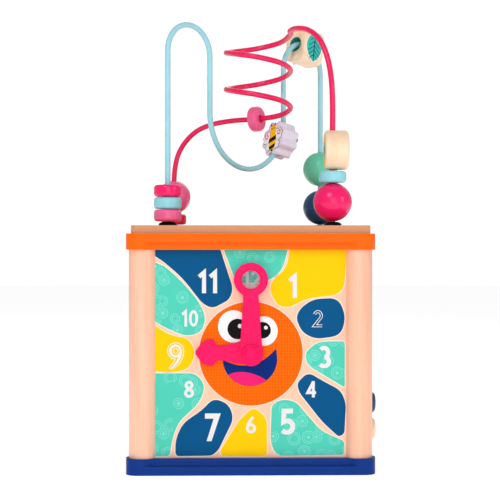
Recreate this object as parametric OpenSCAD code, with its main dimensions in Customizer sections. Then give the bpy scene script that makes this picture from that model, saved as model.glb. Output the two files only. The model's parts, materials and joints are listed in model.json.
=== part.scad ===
// Wooden activity cube: four play panels between round corner posts, with a bead maze on top.
// Millimetres, +Z up, origin at the centre of the underside. The clock panel faces -Y,
// the track panel +X, the gear panel +Y and the tile panel -X.

/* [Box] */
// Outer width and depth of the two plastic frames
frame_w = 293; // [288:1:298]
// Height of the base frame
base_h = 19; // [18:0.5:22]
// Height of the top frame
top_h = 19; // [18.5:0.5:22]
// Height of the panels that shows between the two frames
panel_h = 244; // [238:0.5:250]
// Thickness of a play panel
panel_t = 6; // [5:0.5:7]
// Diameter of a corner post
post_d = 33; // [31:0.2:34]
// Thickness of the plywood top board
board_t = 9.6; // [8:0.1:11]

/* [Clock] */
// Length of the minute hand, from its hub to the centre of its ring
minute_len = 86; // [80:1:90]
// Length of the hour hand, from its hub to its tip
hour_len = 66; // [58:1:70]
// Thickness of a clock hand
hand_t = 4; // [3:0.5:4.5]

/* [Bead maze] */
// Diameter of the coated wire
wire_d = 6.8; // [6:0.1:7]
// Distance of each wire foot from the middle, along X and along Y
foot_xy = 99; // [98:0.5:100]
// Height of the tops of both arches of the blue wire
arch_z = 537; // [530:1:545]
// Height of the bottom of the dip in the blue wire
dip_z = 366; // [360:1:372]
// Diameter of a large ball
ball_d = 46.5; // [44:0.5:48]
// Diameter of a disc bead
disc_d = 33; // [30:0.5:35]
// Thickness of a disc bead
disc_t = 14; // [12:0.5:14.5]

/* [Back and side toys] */
// Pitch radius per tooth of the play gears
gear_step = 3.5; // [3.2:0.1:3.6]
// Height of a turning tile
tile_h = 52; // [46:1:54]
// Width of a turning tile
tile_w = 46; // [42:1:47]
// Radius of a sliding knob
knob_r = 13; // [11:0.5:14]

/* [Hidden] */
$fn = 64;
eps = 0.01;

// Heights of the stack
top_frame_z = base_h + panel_h;
board_z = top_frame_z + top_h;
maze_z = board_z + board_t;

// Box
half_w = frame_w / 2;
corner_r = 14;
band_h = 8.5;           // height of the full-face band of a frame
recess = 4.5;          // depth of the recessed band between two corners
boss_w = 20;           // length of the corner boss before the recess curves in
boss_end = 33;         // length of the corner boss where the recess has its full depth
cavity = 118;          // half width of the hollow inside a frame
cavity_corner = 109;   // half width of that hollow at the corner blocks
post_xy = half_w - 19.5;
post_r = post_d / 2;
slip = 0.15;           // radial gap of wood in a plastic socket
socket_floor = 12;
panel_mid = half_w - 15.5;
panel_out = panel_mid + panel_t / 2;
panel_in = panel_mid - panel_t / 2;
panel_half = 117;
groove_gap = 0.25;
groove_d = 6;
// Panel groove of a post: its width, its near end from the post's axis and its length
groove_w = panel_t + 2 * groove_gap;
groove_near = post_xy - panel_half - 0.4;
groove_long = post_r + 1 - groove_near;
base_board_t = 9;

// Clock
clock_z = 142;
axle_r = 4;
axle_fit = 0.06;
washer_t = 1.2;
hour_front = -panel_out - washer_t - 0.3 - hand_t;
minute_front = hour_front - 0.4 - hand_t;
lens_r = 12;

// Wires
wire_r = wire_d / 2;
wire_low = board_z - 8;
wire_sides = 12;
gland_h = 5;
bore_r = 4.6;
bead_low = maze_z + gland_h + 0.4;
bead_gap = 0.8;
diag = sqrt(2);
// Places of the blue wire's four uprights along the diagonal of the box
blue_legs = [-foot_xy * diag, -49 * diag, 46.5 * diag, foot_xy * diag];
dip_r = (blue_legs[2] - blue_legs[1]) / 2;
dip_c = (blue_legs[2] + blue_legs[1]) / 2;
arch_r = (blue_legs[3] - blue_legs[2]) / 2;
arch_c = (blue_legs[3] + blue_legs[2]) / 2;
// Helix of the pink wire
helix_x = 12.5;
helix_r = 41;
helix_top = 538;
helix_pitch = 47;
helix_steps = 8;
// Pink wire from the front right foot up to the helix, and from the helix down to the rear left foot
pink_rise = [
    [foot_xy, -foot_xy, wire_low], [foot_xy, -foot_xy, 320], [foot_xy, -foot_xy, 360],
    [foot_xy, -foot_xy, 400], [foot_xy, -foot_xy, 440], [97.5, -97, 470], [93, -91, 497],
    [84.5, -81, 519], [72, -65, 533], [59, -44, 538.5], [52, -22, 539], [53, -2, 537.5]];
pink_fall = [
    [42, 28, 438], [14, 45, 434.5], [-16, 60, 434], [-44, 76, 431], [-66, 88, 423.5],
    [-82, 95, 410], [-93, 98.5, 392], [-98, foot_xy, 370], [-foot_xy, foot_xy, 345],
    [-foot_xy, foot_xy, 310], [-foot_xy, foot_xy, wire_low]];
helix_first = 1;       // steps of the helix taken from here, past its rightmost point
helix_last = 16;

// Special beads
bee_d = 48;
bee_t = 25;
bee_angle = 24;        // how far round the dip the bee bead sits, below the dip's right spring line
bee_turn = -57;        // turn of its faces about the wire
bee_bore_r = 8.4;
leaf_len = 38;
leaf_w = 34;
leaf_h = 46;
leaf_bore_r = 10;
leaf_angle = 8;        // how far past the top of the arch the leaf bead sits
leaf_drop = 3.5;       // how far its bore's axis lies below the wire there
small_ball_d = 44.5;
picture_d = 47.5;
picture_t = 28.5;
picture_shift = 4.5;    // its bore runs this far off its middle

// Track panel: [place along Y, low Z, travel along Y, travel along Z]
tracks = [[-60, 75, 0, 155], [-60, 43, 120, 0], [-8, 95, 0, 135], [70, 85, 0, 145]];
stem_r = 4;
slot_r = 4.25;

// Gear panel: teeth, and centres in X and Z
teeth = [12, 8, 10];
gear_turns = [205, 235];   // directions from the first gear to the second, and on to the third
gear_a = [50, 175];
gear_b = gear_a + gear_step * (teeth[0] + teeth[1]) * [cos(gear_turns[0]), sin(gear_turns[0])];
gear_c = gear_b + gear_step * (teeth[1] + teeth[2]) * [cos(gear_turns[1]), sin(gear_turns[1])];
gear_places = [gear_a, gear_b, gear_c];
// Angle of one tooth of each gear, so that the teeth mesh at rest
phase_a = gear_turns[0];
phase_b = gear_turns[0] + 180 + 180 / teeth[1];
phase_c = gear_turns[1] + 180 - (phase_b - gear_turns[1]) * teeth[1] / teeth[2] + 180 / teeth[2];
gear_phases = [phase_a, phase_b, phase_c];
gear_t = 7;
gear_axle_r = 5;

// Tile panel
tile_rows = [100, 190];
tile_pitch = tile_w + 6;
tile_t = 12;
rod_r = 2.5;
window_w = 3 * tile_w + 12 + 6;
window_h = tile_h + 8;

// ---- outlines and curves ----

function arc(c, r, a0, a1, n) = [for (i = [0:n]) let (a = a0 + (a1 - a0) * i / n) c + r * [cos(a), sin(a)]];

function round_rect(w, d, r, n = 5) = concat(
    arc([w / 2 - r, d / 2 - r], r, 0, 90, n), arc([r - w / 2, d / 2 - r], r, 90, 180, n),
    arc([r - w / 2, r - d / 2], r, 180, 270, n), arc([w / 2 - r, r - d / 2], r, 270, 360, n));

function plus_shape(a, b) = [[a, b], [b, b], [b, a], [-b, a], [-b, b], [-a, b],
    [-a, -b], [-b, -b], [-b, -a], [b, -a], [b, -b], [a, -b]];

// Outline between a straight back edge and a front that swings in by depth over a short curve
function swing_in(from, to, depth, n = 5) = [for (i = [0:n])
    [from + (to - from) * i / n, depth * (1 - cos(180 * i / n)) / 2]];

function stadium(dx, dz, r, n = 10) = let (a = atan2(dz, dx))
    concat(arc([0, 0], r, a + 90, a + 270, n), arc([dx, dz], r, a - 90, a + 90, n));

function gear_outline(n, phase) = let (p = gear_step * n, step = 360 / n)
    [for (k = [0:n - 1]) for (q = [[-0.28, -6.5], [-0.12, 5], [0.12, 5], [0.28, -6.5]])
        let (a = phase + step * (k + q[0])) (p + q[1]) * [cos(a), sin(a)]];

function flower(r, dip, petals, n = 64) = [for (i = [0:n - 1])
    let (a = 360 * i / n) (r - dip * (1 - cos(petals * a)) / 2) * [cos(a), sin(a)]];

// Half-section of a round disc with a bore, its corners rounded off
function disc_section(r, t, bore, c) = concat(
    [[bore, t / 2], [bore, -t / 2]], arc([r - c, c - t / 2], c, -90, 0, 5), arc([r - c, t / 2 - c], c, 0, 90, 5));

// ---- swept wire ----

function unit(v) = v / norm(v);

function tangent(p, i) = unit(p[min(i + 1, len(p) - 1)] - p[max(i - 1, 0)]);

// Side direction at each point, carried along so that the tube doesn't twist
function carried(p, i, n) = i == len(p) ? [] :
    let (t = tangent(p, i), m = unit(n - (n * t) * t)) concat([m], carried(p, i + 1, m));

// Smooth curve through hand-set points
function blend_at(a, b, c, d, t) = 0.5 * (2 * b + (c - a) * t + (2 * a - 5 * b + 4 * c - d) * t * t
    + (3 * b - a - 3 * c + d) * t * t * t);

function smooth(p, n) = concat([for (i = [0:len(p) - 2], k = [0:n - 1])
    blend_at(p[max(i - 1, 0)], p[i], p[i + 1], p[min(i + 2, len(p) - 1)], k / n)], [p[len(p) - 1]]);

module tube(p, r, sides) {
    sideways = carried(p, 0, [0.6, 0.8, 0]);
    last = len(p) - 1;
    points = [for (i = [0:last], j = [0:sides - 1])
        let (b = cross(tangent(p, i), sideways[i]), a = 360 * j / sides)
        p[i] + r * (cos(a) * sideways[i] + sin(a) * b)];
    walls = [for (i = [0:last - 1], j = [0:sides - 1]) let (k = (j + 1) % sides)
        [i * sides + j, (i + 1) * sides + j, (i + 1) * sides + k, i * sides + k]];
    ends = [[for (j = [0:sides - 1]) j], [for (j = [sides - 1:-1:0]) last * sides + j]];
    polyhedron(points, concat(walls, ends));
}

function half_loop(c, z, r, up, n) = [for (i = [0:n])
    let (a = 180 - 180 * i / n) [c + r * cos(a), z + up * r * sin(a)]];

first_r = (blue_legs[1] - blue_legs[0]) / 2;
first_c = (blue_legs[1] + blue_legs[0]) / 2;
blue_line = concat([[blue_legs[0], wire_low]], half_loop(first_c, arch_z - first_r, first_r, 1, 12),
    half_loop(dip_c, dip_z + dip_r, dip_r, -1, 18), half_loop(arch_c, arch_z - arch_r, arch_r, 1, 12),
    [[blue_legs[3], wire_low]]);
blue_route = [for (q = blue_line) [q[0] / diag, q[0] / diag, q[1]]];
helix = [for (i = [helix_first:helix_last]) let (a = 360 * i / helix_steps)
    [helix_x + helix_r * cos(a), helix_r * sin(a), helix_top - helix_pitch * i / helix_steps]];
pink_route = smooth(concat(pink_rise, helix, pink_fall), 3);

module blue_wire() {
    color("paleturquoise") tube(blue_route, wire_r, wire_sides);
}

module pink_wire() {
    color("deeppink") tube(pink_route, wire_r, wire_sides);
}

// ---- box ----

module each_corner() {
    for (sx = [-1, 1], sy = [-1, 1]) translate([sx * post_xy, sy * post_xy, 0]) children();
}

module each_side() {
    for (a = [0:90:270]) rotate([0, 0, a]) children();
}

module recess_bands() {
    long = half_w - boss_w;
    short = half_w - boss_end;
    left = [for (q = swing_in(-long, -short, recess)) [q[0], q[1] - half_w]];
    right = [for (q = swing_in(long, short, recess)) [q[0], q[1] - half_w]];
    outline = concat([[-long, -half_w - 2]], left, [for (i = [5:-1:0]) right[i]], [[long, -half_w - 2]]);
    each_side() linear_extrude(band_h + 2) polygon(outline);
}

module panel_grooves(z) {
    each_side() translate([-panel_half - 0.4, -panel_out - groove_gap, z])
        cube([2 * panel_half + 0.8, groove_w, groove_d + 1]);
}

module base_frame() {
    color("navy") difference() {
        linear_extrude(base_h) polygon(round_rect(frame_w, frame_w, corner_r));
        translate([0, 0, base_h - band_h]) recess_bands();
        translate([0, 0, -1]) linear_extrude(base_board_t + 1) polygon(plus_shape(126, 114));
        translate([0, 0, base_board_t - eps]) linear_extrude(base_h) polygon(plus_shape(cavity, cavity_corner));
        panel_grooves(base_h - groove_d);
        each_corner() {
            translate([0, 0, socket_floor]) cylinder(r = post_r + slip, h = base_h);
            translate([0, 0, -1]) cylinder(r = 2.3, h = socket_floor + 2);
            translate([0, 0, -1]) cylinder(r = 5.2, h = 5);
        }
        each_side() translate([0, -122, base_board_t - 1]) cylinder(r = 1.8, h = 3.6);
    }
}

module base_board() {
    color("burlywood") difference() {
        linear_extrude(base_board_t) polygon(plus_shape(125.7, 113.7));
        each_side() translate([0, -122, -1]) cylinder(r = 2, h = base_board_t + 2);
        each_side() translate([0, -122, -1]) cylinder(r = 3.4, h = 3);
    }
}

module top_frame() {
    color("darkorange") translate([0, 0, top_frame_z]) difference() {
        linear_extrude(top_h) polygon(round_rect(frame_w, frame_w, corner_r));
        translate([0, 0, -2]) recess_bands();
        translate([0, 0, -1]) linear_extrude(top_h + 2) polygon(plus_shape(cavity, cavity_corner));
        panel_grooves(-1);
        each_corner() translate([0, 0, -1]) cylinder(r = post_r + slip, h = top_h - 5);
    }
}

module top_board() {
    color("tan") translate([0, 0, board_z]) difference() {
        linear_extrude(board_t) polygon(round_rect(frame_w - 12, frame_w - 12, 5));
        for (sx = [-1, 1], sy = [-1, 1]) translate([sx * foot_xy, sy * foot_xy, -1])
            cylinder(r = wire_r + 0.2, h = board_t + 2);
    }
}

module post(sx, sy) {
    color("peachpuff") translate([sx * post_xy, sy * post_xy, 0]) difference() {
        translate([0, 0, socket_floor + 0.1]) cylinder(r = post_r, h = top_frame_z + top_h - 6.2 - socket_floor);
        translate([0, 0, socket_floor - 1]) cylinder(r = 2.05, h = 30);
        translate([sx > 0 ? -post_r - 1 : groove_near, sy * (panel_mid - post_xy) - groove_w / 2, 0])
            cube([groove_long, groove_w, 400]);
        translate([sx * (panel_mid - post_xy) - groove_w / 2, sy > 0 ? -post_r - 1 : groove_near, 0])
            cube([groove_w, groove_long, 400]);
    }
}

module post_front_left() { post(-1, -1); }
module post_front_right() { post(1, -1); }
module post_rear_left() { post(-1, 1); }
module post_rear_right() { post(1, 1); }

// Screws up through the base frame into the posts
module post_screws() {
    color("silver") each_corner() {
        translate([0, 0, 0.6]) cylinder(r = 4.8, h = 3.3);
        translate([0, 0, 3]) cylinder(r = 2, h = 34);
    }
}

module board_screws() {
    color("silver") each_side() translate([0, -122, 0]) {
        translate([0, 0, 0.3]) cylinder(r = 3.2, h = 1.6);
        translate([0, 0, 1]) cylinder(r = 1.75, h = 10.4);
    }
}

// A play panel that stands in its grooves, facing -Y before it is turned
module blank_panel() {
    low = base_h - groove_d + 0.3;
    translate([-panel_half, -panel_out, low]) cube([2 * panel_half, panel_t, panel_h + 2 * groove_d - 0.9]);
}

// Turns a shape drawn in X and Z to face -Y, with its front at -y
module facing(y, t) {
    translate([0, -y + t, 0]) rotate([90, 0, 0]) linear_extrude(t) children();
}

// ---- clock ----

module clock_panel() {
    color("peachpuff") difference() {
        blank_panel();
        facing(panel_out + 1, panel_t + 2) translate([0, clock_z]) circle(r = axle_r + 0.1);
    }
}

module clock_axle() {
    color("silver") facing(-minute_front + 2.6, panel_t + 2 * hand_t + 12) translate([0, clock_z])
        circle(r = axle_r);
}

module clock_nut() {
    color("silver") facing(panel_in - 0.05, 5) translate([0, clock_z]) difference() {
        circle(r = 8, $fn = 6);
        circle(r = axle_r + 0.02);
    }
}

module hand_washer() {
    color("white") facing(panel_out + washer_t, washer_t) translate([0, clock_z]) difference() {
        circle(r = 9);
        circle(r = axle_r + 0.05);
    }
}

// Hour hand: a tapering bar with an arrowhead, pointing at nine
module hour_hand() {
    head = 27;
    color("deeppink") facing(-hour_front, hand_t) translate([0, clock_z]) difference() {
        union() {
            circle(r = 14);
            polygon([[0, -11.5], [0, 11.5], [head - hour_len, 8.5], [head - hour_len, -8.5]]);
            polygon([[head - hour_len - 1, -15.2], [head - hour_len + 4, -13.5], [head - hour_len + 4, 13.5],
                [head - hour_len - 1, 15.2], [3 - hour_len, 2.4], [-hour_len, 0], [3 - hour_len, -2.4]]);
        }
        circle(r = axle_r + axle_fit);
    }
}

// Minute hand: a tapering bar with a ring, pointing at twelve
module minute_hand() {
    color("deeppink") facing(-minute_front, hand_t) translate([0, clock_z]) difference() {
        union() {
            circle(r = 15);
            polygon([[-13.5, 0], [13.5, 0], [8.5, minute_len - 14], [-8.5, minute_len - 14]]);
            translate([0, minute_len]) circle(r = 20);
        }
        circle(r = axle_r + axle_fit);
        translate([0, minute_len]) circle(r = lens_r);
    }
}

module hand_lens() {
    color("white", 0.4) facing(-minute_front - 1, 2) translate([0, clock_z + minute_len])
        circle(r = lens_r - 0.05);
}

module hub_cap() {
    color("deeppink") translate([0, minute_front - 0.3, clock_z]) rotate([90, 0, 0]) difference() {
        rotate_extrude() polygon(concat([[0, 0], [11, 0]], arc([8, 2], 3, 0, 90, 5), [[0, 5.4]]));
        translate([0, 0, -1]) cylinder(r = axle_r + 0.02, h = 3.6);
    }
}

// ---- bead maze ----

module at_feet() {
    for (sx = [-1, 1], sy = [-1, 1]) translate([sx * foot_xy, sy * foot_xy, 0]) children();
}

module wire_glands() {
    color("black") at_feet() translate([0, 0, maze_z]) rotate_extrude()
        polygon(concat([[wire_r + 0.25, 0], [10.5, 0]], arc([6.5, 1], 4, 0, 90, 5), [[wire_r + 0.25, gland_h]]));
}

module wire_nuts() {
    color("silver") at_feet() translate([0, 0, board_z - 6]) linear_extrude(5.8) difference() {
        circle(r = 7.5, $fn = 6);
        circle(r = wire_r + 0.1);
    }
}

module disc_bead(x, y, z) {
    translate([x, y, z + disc_t / 2]) rotate_extrude() polygon(disc_section(disc_d / 2, disc_t, bore_r, 3.5));
}

module ball_bead(x, y, z, d) {
    translate([x, y, z + d / 2]) difference() {
        sphere(d = d);
        cylinder(r = bore_r, h = d + 2, center = true);
        for (s = [-1, 1]) translate([0, 0, s * d / 2]) cube([d, d, 1.2], center = true);
    }
}

disc_step = disc_t + bead_gap;

module light_pink_disc() { color("hotpink") disc_bead(-foot_xy, -foot_xy, bead_low); }
module sky_disc() { color("skyblue") disc_bead(-foot_xy, -foot_xy, bead_low + disc_step); }
module hot_pink_disc() { color("deeppink") disc_bead(-foot_xy, -foot_xy, bead_low + 2 * disc_step); }
module red_disc() { color("crimson") disc_bead(-foot_xy, foot_xy, bead_low); }
module light_pink_ball() { color("hotpink") ball_bead(-foot_xy, foot_xy, bead_low + disc_step, small_ball_d); }
module hot_pink_ball() { color("deeppink") ball_bead(foot_xy, -foot_xy, bead_low, ball_d); }
module sky_ring_disc() { color("skyblue") disc_bead(foot_xy, -foot_xy, bead_low + ball_d); }
module navy_ball() { color("midnightblue") ball_bead(foot_xy, foot_xy, bead_low, ball_d); }
module green_ball() { color("mediumaquamarine") ball_bead(foot_xy, foot_xy, green_low, ball_d); }

picture_z = bead_low + ball_d + disc_step + 0.8;
green_low = bead_low + ball_d + 5.3;  // the green ball hangs a little above the navy one

// Thick wooden disc that stands on its rim, threaded across its diameter
module picture_bead() {
    color("wheat") translate([foot_xy, -foot_xy, picture_z + picture_d / 2]) difference() {
        translate([picture_shift, 0, 0]) rotate([0, 90, 0]) rotate_extrude()
            polygon(disc_section(picture_d / 2, picture_t, 0, 4));
        cylinder(r = bore_r, h = picture_d + 2, center = true);
        for (s = [-1, 1]) translate([0, 0, s * picture_d / 2]) cube([40, 40, 1.2], center = true);
    }
}

// Disc bead on the sloping stretch of pink wire behind the helix
helix_disc_at = (pink_fall[1] + pink_fall[2]) / 2 * 0.2 + pink_fall[1] * 0.8;
helix_disc_dir = unit(pink_fall[2] - pink_fall[0]);

module helix_disc() {
    turn = atan2(helix_disc_dir[1], helix_disc_dir[0]);
    color("hotpink") translate(helix_disc_at) rotate([0, acos(helix_disc_dir[2]), turn])
        rotate_extrude() polygon(disc_section(disc_d / 2, disc_t, bore_r + 0.6, 3.5));
}

// Flower-shaped disc threaded across its diameter on the rising side of the dip
bee_line = [dip_c + dip_r * cos(bee_angle), dip_z + dip_r - dip_r * sin(bee_angle)];

module bee_bead() {
    color("lavender") translate([bee_line[0] / diag, bee_line[0] / diag, bee_line[1]])
        rotate(a = bee_angle, v = [-1, 1, 0]) rotate([0, 0, bee_turn]) difference() {
            rotate([90, 0, 0]) translate([0, 0, -bee_t / 2]) linear_extrude(bee_t)
                rotate(22.5) polygon(flower(bee_d / 2, 4, 8));
            cylinder(r = bee_bore_r, h = bee_d + 2, center = true);
        }
}

// Rounded wooden block with a wide bore, on the rear arch
leaf_line = [arch_c + arch_r * sin(leaf_angle), arch_z - arch_r + arch_r * cos(leaf_angle) - leaf_drop];

module leaf_bead() {
    color("wheat") translate([leaf_line[0] / diag, leaf_line[0] / diag, leaf_line[1]])
        rotate(a = 90 + leaf_angle, v = [-1, 1, 0]) difference() {
            rotate([0, 0, 45]) translate([0, 0, -leaf_len / 2]) linear_extrude(leaf_len)
                polygon(round_rect(leaf_h, leaf_w, 10));
            cylinder(r = leaf_bore_r, h = leaf_len + 2, center = true);
        }
}

// ---- track panel ----

module track_panel() {
    color("peachpuff") difference() {
        rotate([0, 0, 90]) blank_panel();
        rotate([0, 0, 90]) for (k = tracks) facing(panel_out + 1, panel_t + 2) translate([k[0], k[1]])
            polygon(stadium(k[2], k[3], slot_r));
    }
}

module knob(k) {
    translate([panel_out + 0.4, k[0], k[1]]) rotate([0, 90, 0]) {
        rotate_extrude() polygon(concat([[0, 0], [8, 0], [8.6, 6]],
            arc([knob_r - 4, 12], 4, -60, 0, 3), arc([knob_r - 5, 15.6], 5, 0, 90, 5), [[0, 20.6]]));
        translate([0, 0, -panel_t - 3]) cylinder(r = stem_r, h = panel_t + 3.5);
    }
}

// Disc on the stem behind the panel, which keeps the knob in its slot
module keeper(k) {
    translate([panel_in - 3.6, k[0], k[1]]) rotate([0, 90, 0]) difference() {
        cylinder(r = 9, h = 3.2);
        translate([0, 0, 1]) cylinder(r = stem_r + 0.02, h = 4);
    }
}

module knob_navy() { color("midnightblue") knob(tracks[0]); }
module knob_wood() { color("peru") knob(tracks[1]); }
module knob_yellow() { color("gold") knob(tracks[2]); }
module knob_mint() { color("mediumaquamarine") knob(tracks[3]); }
module keeper_navy() { color("dimgray") keeper(tracks[0]); }
module keeper_wood() { color("dimgray") keeper(tracks[1]); }
module keeper_yellow() { color("dimgray") keeper(tracks[2]); }
module keeper_mint() { color("dimgray") keeper(tracks[3]); }

// ---- gear panel ----

module gear_panel() {
    color("peachpuff") difference() {
        rotate([0, 0, 180]) blank_panel();
        for (g = gear_places) translate([g[0], panel_mid, g[1]]) rotate([90, 0, 0])
            cylinder(r = gear_axle_r + 0.05, h = panel_t + 2, center = true);
    }
}

module gear(i) {
    g = gear_places[i];
    translate([g[0], panel_out + 0.6 + gear_t, g[1]]) rotate([90, 0, 0]) difference() {
        linear_extrude(gear_t) polygon(gear_outline(teeth[i], gear_phases[i]));
        translate([0, 0, -1]) cylinder(r = gear_axle_r + axle_fit, h = gear_t + 2);
    }
}

module gear_large() { color("darkorange") gear(0); }
module gear_small() { color("gold") gear(1); }
module gear_middle() { color("mediumaquamarine") gear(2); }

module gear_axles() {
    head_y = panel_out + 0.6 + gear_t + 0.3;
    color("midnightblue") for (g = gear_places) translate([g[0], 0, g[1]]) {
        translate([0, head_y + 2.8, 0]) rotate([90, 0, 0]) cylinder(r = 9, h = 2.8);
        translate([0, head_y + 1, 0]) rotate([90, 0, 0]) cylinder(r = gear_axle_r, h = head_y + 1 - panel_in + 7);
    }
}

module gear_nuts() {
    color("silver") for (g = gear_places) translate([g[0], panel_in - 0.1, g[1]]) rotate([90, 0, 0])
        linear_extrude(5) difference() {
            circle(r = 9.5, $fn = 6);
            circle(r = gear_axle_r + 0.02);
        }
}

// ---- tile panel ----

module tile_panel() {
    color("peachpuff") difference() {
        rotate([0, 0, 270]) blank_panel();
        for (z = tile_rows) {
            translate([-panel_mid, 0, z]) cube([panel_t + 2, window_w, window_h], center = true);
            translate([-panel_mid, 0, z]) rotate([90, 0, 0])
                cylinder(r = rod_r + 0.05, h = window_w + 16, center = true);
        }
    }
}

module tile_rods() {
    color("silver") for (z = tile_rows) translate([-panel_mid, 0, z]) rotate([90, 0, 0])
        cylinder(r = rod_r, h = window_w + 14, center = true);
}

module tile(n) {
    row = n < 3 ? 1 : 0;
    y = (1 - n % 3) * tile_pitch;
    translate([-panel_mid, y, tile_rows[row]]) rotate([0, 0, 90]) rotate([90, 0, 0]) difference() {
        translate([0, 0, -tile_t / 2]) linear_extrude(tile_t) polygon(round_rect(tile_w, tile_h, 5));
        rotate([0, 90, 0]) cylinder(r = rod_r + 0.08, h = tile_w + 2, center = true);
    }
}

module tile_1() { color("gold") tile(0); }
module tile_2() { color("mediumaquamarine") tile(1); }
module tile_3() { color("darkorange") tile(2); }
module tile_4() { color("steelblue") tile(3); }
module tile_5() { color("gold") tile(4); }
module tile_6() { color("mediumaquamarine") tile(5); }

// ---- drawing ----

base_frame();
base_board();
top_frame();
top_board();
post_front_left();
post_front_right();
post_rear_left();
post_rear_right();
clock_panel();
track_panel();
gear_panel();
tile_panel();
post_screws();
board_screws();
clock_axle();
clock_nut();
hand_washer();
hour_hand();
minute_hand();
hand_lens();
hub_cap();
wire_glands();
wire_nuts();
blue_wire();
pink_wire();
hot_pink_disc();
sky_disc();
light_pink_disc();
red_disc();
light_pink_ball();
helix_disc();
bee_bead();
leaf_bead();
hot_pink_ball();
sky_ring_disc();
picture_bead();
navy_ball();
green_ball();
knob_navy();
knob_wood();
knob_yellow();
knob_mint();
keeper_navy();
keeper_wood();
keeper_yellow();
keeper_mint();
gear_large();
gear_small();
gear_middle();
gear_axles();
gear_nuts();
tile_rods();
tile_1();
tile_2();
tile_3();
tile_4();
tile_5();
tile_6();
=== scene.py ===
"""Activity cube for babies: four play panels between round posts, and a bead maze on top."""

import json
import math

import bmesh
import bpy
from bpy.props import FloatProperty, FloatVectorProperty, IntProperty, PointerProperty
from mathutils import Matrix, Vector


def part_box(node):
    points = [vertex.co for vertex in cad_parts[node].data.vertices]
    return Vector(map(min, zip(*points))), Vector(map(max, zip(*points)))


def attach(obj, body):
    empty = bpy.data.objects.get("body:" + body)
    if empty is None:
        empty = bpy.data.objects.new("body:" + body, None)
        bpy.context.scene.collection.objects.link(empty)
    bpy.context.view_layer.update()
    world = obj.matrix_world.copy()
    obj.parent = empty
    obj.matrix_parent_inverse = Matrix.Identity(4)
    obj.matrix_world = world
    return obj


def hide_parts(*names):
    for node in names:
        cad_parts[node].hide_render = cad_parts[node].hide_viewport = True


bl_info = {
    "name": "Activity Cube",
    "version": (1, 0, 0),
    "blender": (4, 5, 0),
    "location": "View3D > Sidebar > Activity Cube",
    "description": "Builds the painted, printed and threaded pieces of a wooden activity cube",
    "category": "Add Mesh",
}

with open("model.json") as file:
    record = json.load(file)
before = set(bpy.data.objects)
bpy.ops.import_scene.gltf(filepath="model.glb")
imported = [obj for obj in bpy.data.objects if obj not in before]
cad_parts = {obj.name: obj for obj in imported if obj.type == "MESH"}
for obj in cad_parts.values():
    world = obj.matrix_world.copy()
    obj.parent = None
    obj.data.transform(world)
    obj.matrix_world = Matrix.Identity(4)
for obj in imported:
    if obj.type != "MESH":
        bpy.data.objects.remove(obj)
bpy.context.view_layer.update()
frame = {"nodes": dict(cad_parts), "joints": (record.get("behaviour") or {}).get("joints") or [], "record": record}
MM = 0.001
FRONT, RIGHT, REAR, LEFT = range(4)
BODY_OF_NODE = {node: body for body, nodes in frame["record"]["behaviour"]["bodies"].items()
                for node in nodes}
JOINTS = {joint["child"]: joint for joint in frame["joints"]}


# ---- sizes and colours that a user would change ----

def screen_colour(red, green, blue):
    """Linear colour of a paint given by its screen values, 0 to 255."""
    return tuple(((c / 255 + 0.055) / 1.055) ** 2.4 if c > 10 else c / 255 / 12.92
                 for c in (red, green, blue))


def paint(name, description, red, green, blue):
    return FloatVectorProperty(name=name, description=description, subtype="COLOR", size=3, min=0.0, max=1.0,
                               default=screen_colour(red, green, blue))


def length(name, description, default_mm):
    return FloatProperty(name=name, description=description, subtype="DISTANCE", unit="LENGTH", min=0.0,
                         default=default_mm * MM)


class CubeColours(bpy.types.PropertyGroup):
    """Colours of the plastics, paints, inks and woods"""
    navy_plastic: paint("Navy plastic", "Base frame and gear axles", 0, 52, 134)
    orange_plastic: paint("Orange plastic", "Top frame", 255, 104, 0)
    pink_plastic: paint("Pink plastic", "Clock hands and hub cap", 250, 14, 98)
    peach_wood: paint("Peach wood", "Light streaks of posts and panels", 255, 204, 174)
    peach_grain: paint("Peach grain", "Dark streaks of posts and panels", 246, 178, 146)
    ply_light: paint("Light ply", "Light layers of the boards", 228, 160, 114)
    ply_dark: paint("Dark ply", "Dark layers of the boards", 176, 122, 84)
    bead_wood: paint("Bead wood", "Light streaks of the bare wooden beads", 255, 234, 204)
    bead_grain: paint("Bead grain", "Dark streaks of the bare wooden beads", 250, 208, 168)
    mint: paint("Mint", "Mint petals", 82, 208, 184)
    mint_doodle: paint("Mint doodle", "Rings printed on the mint petals", 136, 224, 208)
    navy: paint("Navy", "Navy petals", 0, 84, 136)
    yellow: paint("Yellow", "Yellow petals", 255, 204, 0)
    orange: paint("Orange", "Face of the clock", 255, 112, 0)
    orange_line: paint("Orange line", "Lines ruled on the clock's face", 226, 70, 0)
    outline: paint("Outline", "Thin line round each petal", 255, 232, 214)
    white: paint("White", "Numbers and eyes", 250, 250, 252)
    black: paint("Black", "Pupils, glands and the bee's stripes", 18, 16, 18)
    mouth: paint("Mouth", "Inside of the smile", 4, 42, 120)
    tongue: paint("Tongue", "Tongue", 240, 32, 116)
    hot_pink: paint("Hot pink", "Hot pink beads", 255, 14, 108)
    light_pink: paint("Light pink", "Light pink beads", 255, 104, 158)
    red: paint("Red", "Red bead", 236, 22, 62)
    sky: paint("Sky blue", "Sky-blue beads", 150, 218, 230)
    green: paint("Green", "Green ball", 104, 214, 176)
    deep_navy: paint("Deep navy", "Navy ball and knob", 0, 72, 116)
    lilac: paint("Lilac", "Flower bead", 236, 228, 246)
    leaf: paint("Leaf", "Leaf print and the lining of its bead", 64, 190, 172)
    blue_coat: paint("Blue coating", "Blue wire", 158, 216, 228)
    pink_coat: paint("Pink coating", "Pink wire", 242, 20, 92)


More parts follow.
